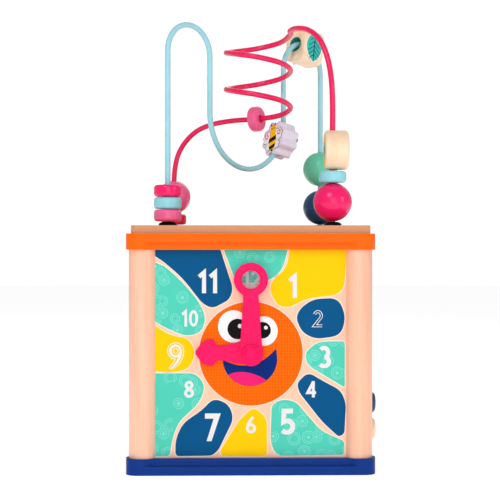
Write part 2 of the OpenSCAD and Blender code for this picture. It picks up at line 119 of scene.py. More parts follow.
class CubeBox(bpy.types.PropertyGroup):
    """Sizes of the box"""
    soft_edge: length("Soft edge", "Rounding of the plastic frames' edges", 1.1)
    board_edge: length("Board edge", "Rounding of the top board's edges", 0.8)
    ply_layer: length("Ply layer", "Thickness of one layer of the boards", 1.35)


class CubeClock(bpy.types.PropertyGroup):
    """Sizes of the printed clock"""
    ink: length("Ink", "Height of one layer of print", 0.12)
    petal_round: length("Petal rounding", "Rounding of the petals' corners", 16.0)
    petal_line: length("Petal line", "Width of the line round a petal", 1.1)
    face_radius: length("Face radius", "Radius of the orange face", 61.0)
    rule_pitch: length("Rule pitch", "Distance between the lines ruled on the face", 7.2)


class CubeMaze(bpy.types.PropertyGroup):
    """Sizes of the bead maze"""
    wire: length("Wire", "Diameter of the coated wires", 6.8)
    wire_sides: IntProperty(name="Wire sides", description="Faces round a wire", default=24, min=8, max=48)
    bead_round: length("Bead rounding", "Rounding of a disc bead's rim", 3.6)
    helix_turns: FloatProperty(name="Helix turns", description="Turns of the pink wire's helix", default=2.0,
                               min=1.0)
    helix_radius: length("Helix radius", "Radius of the pink wire's helix", 41.0)
    helix_pitch: length("Helix pitch", "Height of one turn of the helix", 47.0)


class CubeToys(bpy.types.PropertyGroup):
    """Sizes of the toys on the other three sides"""
    gear_edge: length("Gear edge", "Rounding of the gears' edges", 0.7)
    tile_edge: length("Tile edge", "Rounding of the tiles' edges", 1.2)
    track_line: length("Track line", "Width of the painted band round a track", 7.0)
    screw_recess: length("Screw recess", "Depth of a screw's cross recess", 1.2)


SETTINGS = {"cube_colours": CubeColours, "cube_box": CubeBox, "cube_clock": CubeClock, "cube_maze": CubeMaze,
            "cube_toys": CubeToys}


# ---- outlines ----

def arc(centre, radius, start, end, steps):
    """Points of a circular arc, angles in degrees."""
    turns = [math.radians(start + (end - start) * i / steps) for i in range(steps + 1)]
    return [(centre[0] + radius * math.cos(a), centre[1] + radius * math.sin(a)) for a in turns]


def rounded(corners, radius, steps=6):
    """Closed outline with each corner rounded. A corner may carry its own radius as a third number."""
    points = []
    for i, corner in enumerate(corners):
        here = Vector(corner[:2])
        before, after = (Vector(corners[i - 1][:2]), Vector(corners[(i + 1) % len(corners)][:2]))
        bend = corner[2] if len(corner) > 2 else radius
        cut = min(bend, (before - here).length * 0.48, (after - here).length * 0.48)
        first = here + (before - here).normalized() * cut
        last = here + (after - here).normalized() * cut
        for k in range(steps + 1):
            t = k / steps
            points.append(tuple(first * (1 - t) ** 2 + here * 2 * t * (1 - t) + last * t ** 2))
    return points


def box_outline(width, height, radius, centre=(0.0, 0.0), steps=6):
    x, y = centre
    w, h = width / 2, height / 2
    return (arc((x + w - radius, y + h - radius), radius, 0, 90, steps)
            + arc((x - w + radius, y + h - radius), radius, 90, 180, steps)
            + arc((x - w + radius, y - h + radius), radius, 180, 270, steps)
            + arc((x + w - radius, y - h + radius), radius, 270, 360, steps))


def ellipse(centre, width, height, tilt=0.0, steps=48):
    c, s = math.cos(math.radians(tilt)), math.sin(math.radians(tilt))
    turns = [2 * math.pi * i / steps for i in range(steps)]
    flat = [(width / 2 * math.cos(a), height / 2 * math.sin(a)) for a in turns]
    return [(centre[0] + x * c - y * s, centre[1] + x * s + y * c) for x, y in flat]


def stadium(start, end, radius, steps=12):
    a = math.degrees(math.atan2(end[1] - start[1], end[0] - start[0]))
    return arc(start, radius, a + 90, a + 270, steps) + arc(end, radius, a - 90, a + 90, steps)


def star(centre, radius, points, depth=0.5, turn=90.0, soft=0.2):
    """Star or flower outline with softened tips."""
    corners = []
    for i in range(2 * points):
        reach = radius * (1 if i % 2 == 0 else depth)
        a = math.radians(turn + 180 * i / points)
        corners.append((centre[0] + reach * math.cos(a), centre[1] + reach * math.sin(a)))
    return rounded(corners, radius * soft, 4)


def petals(centre, radius, dip, count, turn=0.0, steps=96):
    """Outline of a flower whose rim swings in and out."""
    turns = [2 * math.pi * i / steps for i in range(steps)]
    shift = math.radians(turn)
    return [(centre[0] + (radius - dip * (1 - math.cos(count * a)) / 2) * math.cos(a + shift),
             centre[1] + (radius - dip * (1 - math.cos(count * a)) / 2) * math.sin(a + shift)) for a in turns]


def leaf_outline(centre, span, width, tilt):
    """Pointed leaf whose tips lie on its long axis."""
    c, s = math.cos(math.radians(tilt)), math.sin(math.radians(tilt))
    side = [(span * (i / 12 - 0.5), width / 2 * math.sin(math.pi * i / 12) ** 0.8) for i in range(13)]
    flat = side + [(x, -y) for x, y in reversed(side[1:-1])]
    return [(centre[0] + x * c - y * s, centre[1] + x * s + y * c) for x, y in flat]


def swell(outline, by):
    """Outline moved outwards by a small distance."""
    grown = []
    area = sum(a[0] * b[1] - b[0] * a[1] for a, b in zip(outline, outline[1:] + outline[:1]))
    side = 1 if area > 0 else -1
    for i, point in enumerate(outline):
        along = Vector(outline[(i + 1) % len(outline)]) - Vector(outline[i - 1])
        if along.length < 1e-9:
            grown.append(point)
            continue
        out = Vector((along.y, -along.x)).normalized() * side * by
        grown.append((point[0] + out.x, point[1] + out.y))
    return grown


def in_mm(points):
    return [tuple(v * MM for v in point) for point in points]


# ---- meshes ----

def new_piece(name, bm, smooth_angle=32.0, merge=True):
    """Object from a bmesh, faces outward, smooth except across sharp edges."""
    if merge:
        bmesh.ops.remove_doubles(bm, verts=bm.verts, dist=1e-6)
        bmesh.ops.recalc_face_normals(bm, faces=bm.faces)
    mesh = bpy.data.meshes.new(name)
    bm.to_mesh(mesh)
    bm.free()
    mesh.shade_smooth()
    mesh.set_sharp_from_angle(angle=math.radians(smooth_angle))
    obj = bpy.data.objects.new(name, mesh)
    bpy.context.scene.collection.objects.link(obj)
    return obj


def place(obj, material, node=None, body=None, replaced=()):
    """Gives a finished piece its material and its body, and hides the CAD nodes that it stands for."""
    if material is not None:
        obj.data.materials.clear()
        obj.data.materials.append(material)
    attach(obj, body or BODY_OF_NODE[node])
    names = list(replaced) or ([node] if node else [])
    if names:
        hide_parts(*names)
    return obj


def add_slab(bm, outline, low, high, where=Matrix.Identity(4), ease=0.0):
    """Solid of one outline between two heights, its top edge eased, added to a bmesh."""
    levels = [(outline, low), (outline, high)]
    if ease > 0:
        levels = [(outline, low), (outline, high - ease), (swell(outline, -ease), high)]
    rings = [[bm.verts.new(where @ Vector((x, y, z))) for x, y in points] for points, z in levels]
    count = len(outline)
    for lower, upper in zip(rings, rings[1:]):
        for i in range(count):
            k = (i + 1) % count
            bm.faces.new((lower[i], lower[k], upper[k], upper[i]))
    bm.faces.new(list(reversed(rings[0])))
    bm.faces.new(rings[-1])


def add_lathe(bm, profile, where, steps=72, closed=False):
    """Turned solid: profile is (radius, height) pairs, from axis to axis, or a closed ring."""
    rings = []
    for radius, height in profile:
        if radius < 1e-7:
            rings.append([bm.verts.new(where @ Vector((0, 0, height)))])
            continue
        turns = [2 * math.pi * i / steps for i in range(steps)]
        rings.append([bm.verts.new(where @ Vector((radius * math.cos(a), radius * math.sin(a), height)))
                      for a in turns])
    pairs = list(zip(rings, rings[1:])) + ([(rings[-1], rings[0])] if closed else [])
    for lower, upper in pairs:
        for i in range(steps):
            k = (i + 1) % steps
            corners = [lower[i % len(lower)], lower[k % len(lower)], upper[k % len(upper)],
                       upper[i % len(upper)]]
            unique = list(dict.fromkeys(corners))
            if len(unique) > 2:
                bm.faces.new(unique)


def lathe(name, profile, where, steps=72, closed=False, smooth_angle=32.0):
    bm = bmesh.new()
    add_lathe(bm, profile, where, steps, closed)
    return new_piece(name, bm, smooth_angle)


def softened(name, node, width, segments=2, angle=32.0):
    """Merged copy of a CAD node with its edges rounded."""
    bm = bmesh.new()
    bm.from_mesh(frame["nodes"][node].data)
    bmesh.ops.remove_doubles(bm, verts=bm.verts, dist=1e-6)
    bmesh.ops.dissolve_limit(bm, angle_limit=math.radians(1.0), verts=bm.verts, edges=bm.edges)
    return soft_edges(new_piece(name, bm, angle, merge=False), width, segments, angle)


def apply_modifiers(obj):
    """Replaces the object's mesh by its evaluated mesh and removes its modifiers."""
    bpy.context.view_layer.update()
    made = bpy.data.meshes.new_from_object(obj.evaluated_get(bpy.context.evaluated_depsgraph_get()))
    old = obj.data
    obj.modifiers.clear()
    obj.data = made
    bpy.data.meshes.remove(old)


def on_panel(side):
    """Matrix from a panel's own (across, up, out) to the cube's frame. Across runs to the viewer's right."""
    normals = {FRONT: (0, -1, 0), RIGHT: (1, 0, 0), REAR: (0, 1, 0), LEFT: (-1, 0, 0)}
    names = {FRONT: "clock_panel", RIGHT: "track_panel", REAR: "gear_panel", LEFT: "tile_panel"}
    out = Vector(normals[side])
    up = Vector((0, 0, 1))
    across = up.cross(out)
    low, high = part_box(names[side])
    reach = max(abs(out.dot(low)), abs(out.dot(high)))
    matrix = Matrix((across, up, out)).transposed().to_4x4()
    matrix.translation = out * reach
    return matrix


def joint_frame(body):
    """Matrix whose Z axis is the body's joint axis, at the joint's place."""
    joint = JOINTS[body]
    turn = Vector(joint["axis"]).to_track_quat("Z", "Y").to_matrix().to_4x4()
    turn.translation = Vector(joint.get("pos_m", (0, 0, 0)))
    return turn


def centre_of(node):
    low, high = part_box(node)
    return (low + high) / 2


# ---- node trees ----

def made_once(name):
    """Lets a function that makes a node group run once, and hands out that group from then on."""
    def wrap(make):
        return lambda: bpy.data.node_groups.get(name) or make()
    return wrap


def feed(tree, node, **inputs):
    """Feeds a node's inputs by sockets or values. An underscore in a name stands for a space."""
    for label, value in inputs.items():
        socket = node.inputs[label.replace("_", " ")]
        if isinstance(value, bpy.types.NodeSocket):
            tree.links.new(value, socket)
        else:
            socket.default_value = value
    return node


def fed_node(tree, kind, **inputs):
    return feed(tree, tree.nodes.new(kind), **inputs)


def geometry_tree(name, inputs):
    """New geometry tree with named inputs after its geometry, and its input and output nodes."""
    tree = bpy.data.node_groups.new(name, "GeometryNodeTree")
    tree.interface.new_socket("Geometry", in_out="INPUT", socket_type="NodeSocketGeometry")
    for label, kind, default in inputs:
        socket = tree.interface.new_socket(label, in_out="INPUT", socket_type=kind)
        if default is not None:
            socket.default_value = default
    tree.interface.new_socket("Geometry", in_out="OUTPUT", socket_type="NodeSocketGeometry")
    return tree, tree.nodes.new("NodeGroupInput"), tree.nodes.new("NodeGroupOutput")


def run_tree(obj, tree, values):
    """Runs a geometry tree on an object and keeps the result as its plain mesh."""
    modifier = obj.modifiers.new(tree.name, "NODES")
    modifier.node_group = tree
    for socket in tree.interface.items_tree:
        if socket.in_out == "INPUT" and socket.name in values:
            modifier[socket.identifier] = values[socket.name]
    apply_modifiers(obj)


def finish_tree(tree, source, inputs, outputs):
    """Ends a tree in Realize Instances and Set Material."""
    realize = fed_node(tree, "GeometryNodeRealizeInstances", Geometry=source)
    paint_it = fed_node(tree, "GeometryNodeSetMaterial", Geometry=realize.outputs["Geometry"],
                        Material=inputs.outputs["Material"])
    feed(tree, outputs, Geometry=paint_it.outputs["Geometry"])


@made_once("Tube along path")
def tube_tree():
    """Round tube along a chain of edges."""
    tree, inputs, outputs = geometry_tree("Tube along path", [
        ("Radius", "NodeSocketFloat", 0.003), ("Sides", "NodeSocketInt", 16),
        ("Material", "NodeSocketMaterial", None)])
    given = inputs.outputs
    curve = fed_node(tree, "GeometryNodeMeshToCurve", Mesh=given["Geometry"])
    ring = fed_node(tree, "GeometryNodeCurvePrimitiveCircle", Radius=given["Radius"],
                    Resolution=given["Sides"])
    sweep = fed_node(tree, "GeometryNodeCurveToMesh", Fill_Caps=True, Curve=curve.outputs["Curve"],
                     Profile_Curve=ring.outputs["Curve"])
    smooth = fed_node(tree, "GeometryNodeSetShadeSmooth", Geometry=sweep.outputs["Mesh"])
    finish_tree(tree, smooth.outputs["Geometry"], inputs, outputs)
    return tree


@made_once("Copies on points")
def copies_tree():
    """One copy of an object at each vertex."""
    tree, inputs, outputs = geometry_tree("Copies on points", [
        ("Piece", "NodeSocketObject", None), ("Size", "NodeSocketFloat", 1.0),
        ("Turn", "NodeSocketFloat", 0.0),
        ("Material", "NodeSocketMaterial", None)])
    given = inputs.outputs
    info = fed_node(tree, "GeometryNodeObjectInfo", Object=given["Piece"])
    points = fed_node(tree, "GeometryNodeMeshToPoints", Mesh=given["Geometry"])
    turn = fed_node(tree, "ShaderNodeCombineXYZ", Z=given["Turn"])
    copies = fed_node(tree, "GeometryNodeInstanceOnPoints", Points=points.outputs["Points"],
                      Instance=info.outputs["Geometry"], Rotation=turn.outputs["Vector"], Scale=given["Size"])
    finish_tree(tree, copies.outputs["Instances"], inputs, outputs)
    return tree


def copies_at(name, source, spots, material, turn=0.0):
    """Plain mesh of the source piece repeated at each spot. The source is removed."""
    mesh = bpy.data.meshes.new(name)
    mesh.from_pydata([tuple(spot) for spot in spots], [], [])
    obj = bpy.data.objects.new(name, mesh)
    bpy.context.scene.collection.objects.link(obj)
    run_tree(obj, copies_tree(), {"Piece": source, "Size": 1.0, "Turn": turn, "Material": material})
    bpy.data.objects.remove(source)
    return obj


# ---- shader groups ----

def shader_group(name, inputs, outputs):
    """New shader group with named inputs (label, kind, default) and outputs (label, kind)."""
    tree = bpy.data.node_groups.new(name, "ShaderNodeTree")
    for label, kind, default in inputs:
        socket = tree.interface.new_socket(label, in_out="INPUT", socket_type=kind)
        if default is not None:
            socket.default_value = default
    for label, kind in outputs:
        tree.interface.new_socket(label, in_out="OUTPUT", socket_type=kind)
    return tree, tree.nodes.new("NodeGroupInput"), tree.nodes.new("NodeGroupOutput")


def math_node(tree, operation, first, second=None, third=None):
    """Math node fed by sockets or numbers; returns its output socket."""
    node = tree.nodes.new("ShaderNodeMath")
    node.operation = operation
    for socket, value in zip(node.inputs, (first, second, third)):
        if value is None:
            continue
        if isinstance(value, (int, float)):
            socket.default_value = value
        else:
            tree.links.new(value, socket)
    return node.outputs[0]


def noise(tree, vector, scale, detail=3.0, roughness=0.5):
    node = fed_node(tree, "ShaderNodeTexNoise", Scale=scale, Detail=detail, Roughness=roughness,
                    Vector=vector)
    return node.outputs["Fac"]


def stretch(tree, vector, scale, turn=(0.0, 0.0, 0.0)):
    return fed_node(tree, "ShaderNodeMapping", Scale=scale, Rotation=turn, Vector=vector).outputs["Vector"]


def ramp(tree, value, low, high):
    """0 below low, 1 above high, straight between."""
    return fed_node(tree, "ShaderNodeMapRange", From_Min=low, From_Max=high, Value=value).outputs["Result"]


@made_once("Wood figure")
def wood_group():
    """Wood figure along the vector's Z: streaks, growth bands and fine pores."""
    tree, inputs, outputs = shader_group("Wood figure", [
        ("Vector", "NodeSocketVector", None), ("Band Density", "NodeSocketFloat", 60.0)],
        [("Figure", "NodeSocketFloat"), ("Pores", "NodeSocketFloat")])
    along = inputs.outputs["Vector"]
    streaks = noise(tree, stretch(tree, along, (70, 70, 3.2)), 1.0, 4.0, 0.62)
    drift = noise(tree, stretch(tree, along, (9, 9, 1.6)), 1.0, 2.0)
    band = fed_node(tree, "ShaderNodeTexWave", Distortion=3.0, Detail=2.0,
                    Vector=stretch(tree, along, (1, 1, 0.06)), Scale=inputs.outputs["Band Density"])
    band.wave_type = "BANDS"
    band.bands_direction = "DIAGONAL"
    mixed = math_node(tree, "MULTIPLY", streaks, 0.55)
    mixed = math_node(tree, "MULTIPLY_ADD", drift, 0.35, mixed)
    mixed = math_node(tree, "MULTIPLY_ADD", band.outputs["Fac"], 0.07, mixed)
    tree.links.new(ramp(tree, mixed, 0.33, 0.66), outputs.inputs["Figure"])
    pores = noise(tree, stretch(tree, along, (900, 900, 40)), 1.0, 2.0, 0.7)
    tree.links.new(ramp(tree, pores, 0.55, 0.75), outputs.inputs["Pores"])
    return tree


@made_once("Coat skin")
def skin_group():
    """Uneven skin of paint, ink or moulded plastic: slow shade changes and a fine ripple."""
    tree, inputs, outputs = shader_group("Coat skin", [
        ("Vector", "NodeSocketVector", None), ("Ripple Density", "NodeSocketFloat", 220.0)],
        [("Unevenness", "NodeSocketFloat"), ("Ripple", "NodeSocketFloat"), ("Smudges", "NodeSocketFloat")])
    slow = noise(tree, inputs.outputs["Vector"], 26.0, 2.0)
    tree.links.new(ramp(tree, slow, 0.3, 0.7), outputs.inputs["Unevenness"])
    ripple = fed_node(tree, "ShaderNodeTexNoise", Detail=1.0, Vector=inputs.outputs["Vector"],
                      Scale=inputs.outputs["Ripple Density"])
    tree.links.new(ripple.outputs["Fac"], outputs.inputs["Ripple"])
    marks = noise(tree, inputs.outputs["Vector"], 60.0, 6.0, 0.65)
    tree.links.new(ramp(tree, marks, 0.45, 0.68), outputs.inputs["Smudges"])
    return tree


@made_once("Ring doodles")
def doodle_group():
    """Loose concentric rings with some filled centres, drawn on the vector's X and Z."""
    tree, inputs, outputs = shader_group("Ring doodles", [
        ("Vector", "NodeSocketVector", None), ("Density", "NodeSocketFloat", 46.0)],
        [("Rings", "NodeSocketFloat")])
    split = fed_node(tree, "ShaderNodeSeparateXYZ", Vector=inputs.outputs["Vector"])
    flat = fed_node(tree, "ShaderNodeCombineXYZ", X=split.outputs["X"], Y=split.outputs["Z"])
    cells = fed_node(tree, "ShaderNodeTexVoronoi", Randomness=0.85, Vector=flat.outputs["Vector"],
                     Scale=inputs.outputs["Density"])
    cells.voronoi_dimensions = "2D"
    wobble = noise(tree, flat.outputs["Vector"], 300.0, 2.0)
    away = math_node(tree, "MULTIPLY_ADD", wobble, 0.07, cells.outputs["Distance"])
    pick = fed_node(tree, "ShaderNodeSeparateColor", Color=cells.outputs["Color"])
    rings = None
    for size, width in ((0.40, 0.016), (0.27, 0.014)):
        reach = math_node(tree, "MULTIPLY_ADD", pick.outputs["Red"], 0.11, size - 0.06)
        gap = math_node(tree, "ABSOLUTE", math_node(tree, "SUBTRACT", away, reach))
        line = math_node(tree, "SUBTRACT", 1.0, ramp(tree, gap, width, width * 2.2))
        rings = line if rings is None else math_node(tree, "MAXIMUM", rings, line)
    dot = math_node(tree, "SUBTRACT", 1.0, ramp(tree, away, 0.13, 0.17))
    filled = math_node(tree, "GREATER_THAN", pick.outputs["Green"], 0.45)
    rings = math_node(tree, "MAXIMUM", rings, math_node(tree, "MULTIPLY", dot, filled))
    drawn = math_node(tree, "GREATER_THAN", pick.outputs["Blue"], 0.12)
    tree.links.new(math_node(tree, "MULTIPLY", rings, drawn), outputs.inputs["Rings"])
    return tree


@made_once("Ruled lines")
def ruled_group():
    """Fine ruled lines along the vector's X and Z, every other one fainter."""
    tree, inputs, outputs = shader_group("Ruled lines", [
        ("Vector", "NodeSocketVector", None), ("Pitch", "NodeSocketFloat", 0.0054)],
        [("Lines", "NodeSocketFloat")])
    split = fed_node(tree, "ShaderNodeSeparateXYZ", Vector=inputs.outputs["Vector"])
    lines = None
    for axis in ("X", "Z"):
        for share, strength in ((1.0, 0.9), (0.5, 0.75)):
            pitch = math_node(tree, "MULTIPLY", inputs.outputs["Pitch"], share)
            step = math_node(tree, "FRACT", math_node(tree, "DIVIDE", split.outputs[axis], pitch))
            gap = math_node(tree, "ABSOLUTE", math_node(tree, "SUBTRACT", step, 0.5))
            line = math_node(tree, "MULTIPLY", ramp(tree, gap, 0.5 - 0.07 / share, 0.5 - 0.04 / share),
                             strength)
            lines = line if lines is None else math_node(tree, "MAXIMUM", lines, line)
    tree.links.new(lines, outputs.inputs["Lines"])
    return tree


# ---- materials ----

class Recipe:
    """A material being mixed: its tree, its Principled shader and its object coordinates."""

    def __init__(self, name, roughness, coat=0.0, coat_roughness=0.1, specular=0.5):
        self.material = bpy.data.materials.new(name)
        self.material.use_nodes = True
        self.tree = self.material.node_tree
        self.tree.nodes.clear()
        self.shader = fed_node(self.tree, "ShaderNodeBsdfPrincipled", Roughness=roughness, Coat_Weight=coat,
                               Coat_Roughness=coat_roughness, Specular_IOR_Level=specular)
        fed_node(self.tree, "ShaderNodeOutputMaterial", Surface=self.shader.outputs["BSDF"])
        coordinates = self.tree.nodes.new("ShaderNodeTexCoord")
        self.place = coordinates.outputs["Object"]
        self.facing = coordinates.outputs["Normal"]

    def group(self, group, vector=None, **values):
        node = self.tree.nodes.new("ShaderNodeGroup")
        node.node_tree = group
        feed(self.tree, node, Vector=vector or self.place, **values)
        return node

    def mix(self, mask, first, second, strength=1.0):
        """Colour mixed from first to second by a mask. Colours are sockets or linear triples."""
        node = self.tree.nodes.new("ShaderNodeMix")
        node.data_type = "RGBA"
        factor = math_node(self.tree, "MULTIPLY", mask, strength)
        self.tree.links.new(factor, node.inputs["Factor"])
        for socket, value in ((node.inputs[6], first), (node.inputs[7], second)):
            if isinstance(value, bpy.types.NodeSocket):
                self.tree.links.new(value, socket)
            else:
                socket.default_value = (*value, 1.0)
        return node.outputs[2]

    def colour(self, socket):
        self.tree.links.new(socket, self.shader.inputs["Base Color"])

    def bump(self, height, distance, strength=0.5):
        node = fed_node(self.tree, "ShaderNodeBump", Strength=strength, Distance=distance, Height=height)
        self.tree.links.new(node.outputs["Normal"], self.shader.inputs["Normal"])

    def uneven_gloss(self, mask, low, high):
        node = fed_node(self.tree, "ShaderNodeMapRange", To_Min=low, To_Max=high, Value=mask)
        self.tree.links.new(node.outputs["Result"], self.shader.inputs["Roughness"])


def darker(colour, share):
    return tuple(c * share for c in colour)


def made_before(name):
    return bpy.data.materials.get(name)


def moulded_plastic(name, colour, roughness=0.34):
    """Injection-moulded plastic with a faint sheen and a fine tool texture."""
    if made_before(name):
        return made_before(name)
    recipe = Recipe(name, roughness, specular=0.12)
    skin = recipe.group(skin_group(), Ripple_Density=1500.0)
    recipe.colour(recipe.mix(skin.outputs["Unevenness"], darker(colour, 0.94), colour))
    recipe.uneven_gloss(skin.outputs["Smudges"], roughness, roughness + 0.09)
    recipe.bump(skin.outputs["Ripple"], 0.00006, 0.35)
    return recipe.material


def painted_wood(name, colour, grain_turn=(0.0, 0.0, 0.0)):
    """Glossy toy paint over turned wood, whose grain still shows faintly."""
    if made_before(name):
        return made_before(name)
    recipe = Recipe(name, 0.3, coat=0.4, coat_roughness=0.12, specular=0.2)
    skin = recipe.group(skin_group(), Ripple_Density=260.0)
    wood = recipe.group(wood_group(), stretch(recipe.tree, recipe.place, (1, 1, 1), grain_turn),
                        Band_Density=70.0)
    tone = recipe.mix(wood.outputs["Figure"], colour, darker(colour, 0.9), 0.6)
    recipe.colour(recipe.mix(skin.outputs["Unevenness"], tone, darker(colour, 0.93), 0.5))
    recipe.uneven_gloss(skin.outputs["Smudges"], 0.26, 0.36)
    height = math_node(recipe.tree, "MULTIPLY_ADD", wood.outputs["Pores"], -0.5, skin.outputs["Ripple"])
    recipe.bump(height, 0.0001, 0.3)
    return recipe.material


def bare_wood(name, light, dark, grain_turn=(0.0, 0.0, 0.0), band=60.0, coat=0.18, strength=0.9):
    """Sanded wood under thin lacquer, its grain along the turned Z axis."""
    if made_before(name):
        return made_before(name)
    recipe = Recipe(name, 0.42, coat=coat, coat_roughness=0.3)
    wood = recipe.group(wood_group(), stretch(recipe.tree, recipe.place, (1, 1, 1), grain_turn),
                        Band_Density=band)
    skin = recipe.group(skin_group(), Ripple_Density=420.0)
    tone = recipe.mix(wood.outputs["Figure"], light, dark, strength)
    recipe.colour(recipe.mix(wood.outputs["Pores"], tone, darker(dark, 0.72), 0.4))
    recipe.uneven_gloss(skin.outputs["Smudges"], 0.38, 0.5)
    recipe.bump(math_node(recipe.tree, "MULTIPLY", wood.outputs["Pores"], -1.0), 0.0001, 0.35)
    return recipe.material


def plywood(name, light, dark, layer):
    """Plywood: wood figure on its faces and stacked layers on its edges."""
    if made_before(name):
        return made_before(name)
    recipe = Recipe(name, 0.5, coat=0.1, coat_roughness=0.35)
    tree = recipe.tree
    wood = recipe.group(wood_group(), stretch(tree, recipe.place, (1, 1, 1), (0, math.radians(90), 0)),
                        Band_Density=40.0)
    skin = recipe.group(skin_group(), Ripple_Density=500.0)
    face = recipe.mix(wood.outputs["Figure"], light, dark, 0.55)
    split = fed_node(tree, "ShaderNodeSeparateXYZ", Vector=recipe.place)
    waver = noise(tree, stretch(tree, recipe.place, (12, 12, 60)), 1.0, 2.0)
    level = math_node(tree, "MULTIPLY_ADD", waver, layer * 0.5, split.outputs["Z"])
    step = math_node(tree, "FRACT", math_node(tree, "DIVIDE", level, layer))
    seam = math_node(tree, "ABSOLUTE", math_node(tree, "SUBTRACT", step, 0.5))
    ends = noise(tree, stretch(tree, recipe.place, (500, 500, 1800)), 1.0, 3.0, 0.7)
    edge = recipe.mix(ramp(tree, seam, 0.24, 0.44), light, dark, 0.85)
    edge = recipe.mix(ramp(tree, ends, 0.45, 0.75), edge, darker(dark, 0.75), 0.45)
    normal = fed_node(tree, "ShaderNodeSeparateXYZ", Vector=recipe.facing)
    flat = ramp(tree, math_node(tree, "ABSOLUTE", normal.outputs["Z"]), 0.6, 0.8)
    recipe.colour(recipe.mix(flat, edge, face))
    recipe.uneven_gloss(skin.outputs["Smudges"], 0.44, 0.58)
    recipe.bump(math_node(tree, "MULTIPLY_ADD", ends, 0.5, seam), 0.00012, 0.35)
    return recipe.material


def ink(name, colour, second=None, pattern=None, strength=1.0, **values):
    """Printed ink, with an optional second colour laid over it by a pattern group."""
    if made_before(name):
        return made_before(name)
    recipe = Recipe(name, 0.4, specular=0.06)
    skin = recipe.group(skin_group(), Ripple_Density=600.0)
    tone = recipe.mix(skin.outputs["Unevenness"], colour, darker(colour, 0.95), 0.6)
    if pattern is not None:
        drawn = recipe.group(pattern, **values)
        tone = recipe.mix(drawn.outputs[0], tone, second, strength)
    recipe.colour(tone)
    recipe.uneven_gloss(skin.outputs["Smudges"], 0.32, 0.42)
    recipe.bump(skin.outputs["Ripple"], 0.00004, 0.25)
    return recipe.material


def coated_wire(name, colour):
    """Thick smooth powder coat on steel wire."""
    if made_before(name):
        return made_before(name)
    recipe = Recipe(name, 0.28, coat=0.22, coat_roughness=0.15, specular=0.3)
    skin = recipe.group(skin_group(), Ripple_Density=700.0)
    recipe.colour(recipe.mix(skin.outputs["Unevenness"], colour, darker(colour, 0.92)))
    recipe.uneven_gloss(skin.outputs["Smudges"], 0.25, 0.34)
    recipe.bump(skin.outputs["Ripple"], 0.00012, 0.35)
    return recipe.material


def plated_steel(name="Plated steel"):
    """Zinc-plated steel with turned and handled marks."""
    if made_before(name):
        return made_before(name)
    recipe = Recipe(name, 0.35)
    recipe.shader.inputs["Metallic"].default_value = 1.0
    skin = recipe.group(skin_group(), Ripple_Density=900.0)
    recipe.colour(recipe.mix(skin.outputs["Smudges"], (0.62, 0.62, 0.6), (0.46, 0.47, 0.48)))
    recipe.uneven_gloss(skin.outputs["Smudges"], 0.28, 0.46)
    recipe.bump(skin.outputs["Ripple"], 0.00005, 0.4)
    return recipe.material


def clear_lens(name="Clear lens"):
    """Clear moulded lens with a very light ripple."""
    if made_before(name):
        return made_before(name)
    recipe = Recipe(name, 0.06)
    recipe.shader.inputs["Transmission Weight"].default_value = 1.0
    recipe.shader.inputs["IOR"].default_value = 1.3
    skin = recipe.group(skin_group(), Ripple_Density=180.0)
    recipe.colour(recipe.mix(skin.outputs["Unevenness"], (0.93, 0.95, 0.96), (0.85, 0.88, 0.9)))
    recipe.bump(skin.outputs["Ripple"], 0.00003, 0.1)
    return recipe.material


def colours():
    return bpy.context.scene.cube_colours


def hue(name):
    return tuple(getattr(colours(), name))


def panel_wood():
    return bare_wood("Panel wood", hue("peach_wood"), hue("peach_grain"), band=24.0, coat=0.3, strength=0.55)


def toy_paint(tint):
    return painted_wood(tint.replace("_", " ").title() + " paint", hue(tint))


def bead_wood():
    return bare_wood("Bead wood", hue("bead_wood"), hue("bead_grain"), band=90.0)


# ---- box ----

def quarter_profile(radius, low, high, bend):
    """Turned bar from the axis at its low end to the axis at its high end, with rounded rims."""
    rim = (arc((radius - bend, low + bend), bend, -90, 0, 4)
           + arc((radius - bend, high - bend), bend, 0, 90, 4))
    return [(0.0, low)] + rim + [(0.0, high)]


class CUBE_OT_box(bpy.types.Operator):
    """Build the plastic frames, wooden posts, boards and the panels they hold"""
    bl_idname = "cube.box"
    bl_label = "Box"

    def execute(self, context):
        box = context.scene.cube_box
        navy = moulded_plastic("Navy plastic", hue("navy_plastic"), 0.36)
        orange = moulded_plastic("Orange plastic", hue("orange_plastic"), 0.36)
        place(softened("base_frame_shell", "base_frame", box.soft_edge, 3), navy, "base_frame")
        place(softened("top_frame_shell", "top_frame", box.soft_edge, 3), orange, "top_frame")
        ply = plywood("Plywood", hue("ply_light"), hue("ply_dark"), box.ply_layer)
        place(softened("top_board_ply", "top_board", box.board_edge, 2), ply, "top_board")
        place(softened("base_board_ply", "base_board", box.board_edge, 2), ply, "base_board")
        wood = bare_wood("Post wood", hue("peach_wood"), hue("peach_grain"), band=46.0, coat=0.28,
                         strength=0.85)
        for node in ("post_front_left", "post_front_right", "post_rear_left", "post_rear_right"):
            low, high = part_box(node)
            middle = (low + high) / 2
            profile = quarter_profile((high.x - low.x) / 2, low.z, high.z, 0.8 * MM)
            post = lathe(node + "_dowel", profile, Matrix.Translation((middle.x, middle.y, 0)), 96)
            place(post, wood, node)
        repaint(panel_wood(), "clock_panel", "gear_panel")
        for node in ("track_panel", "tile_panel"):
            place(softened(node + "_board", node, 0.6 * MM, 2), panel_wood(), node)
        return {"FINISHED"}


# ---- clock ----

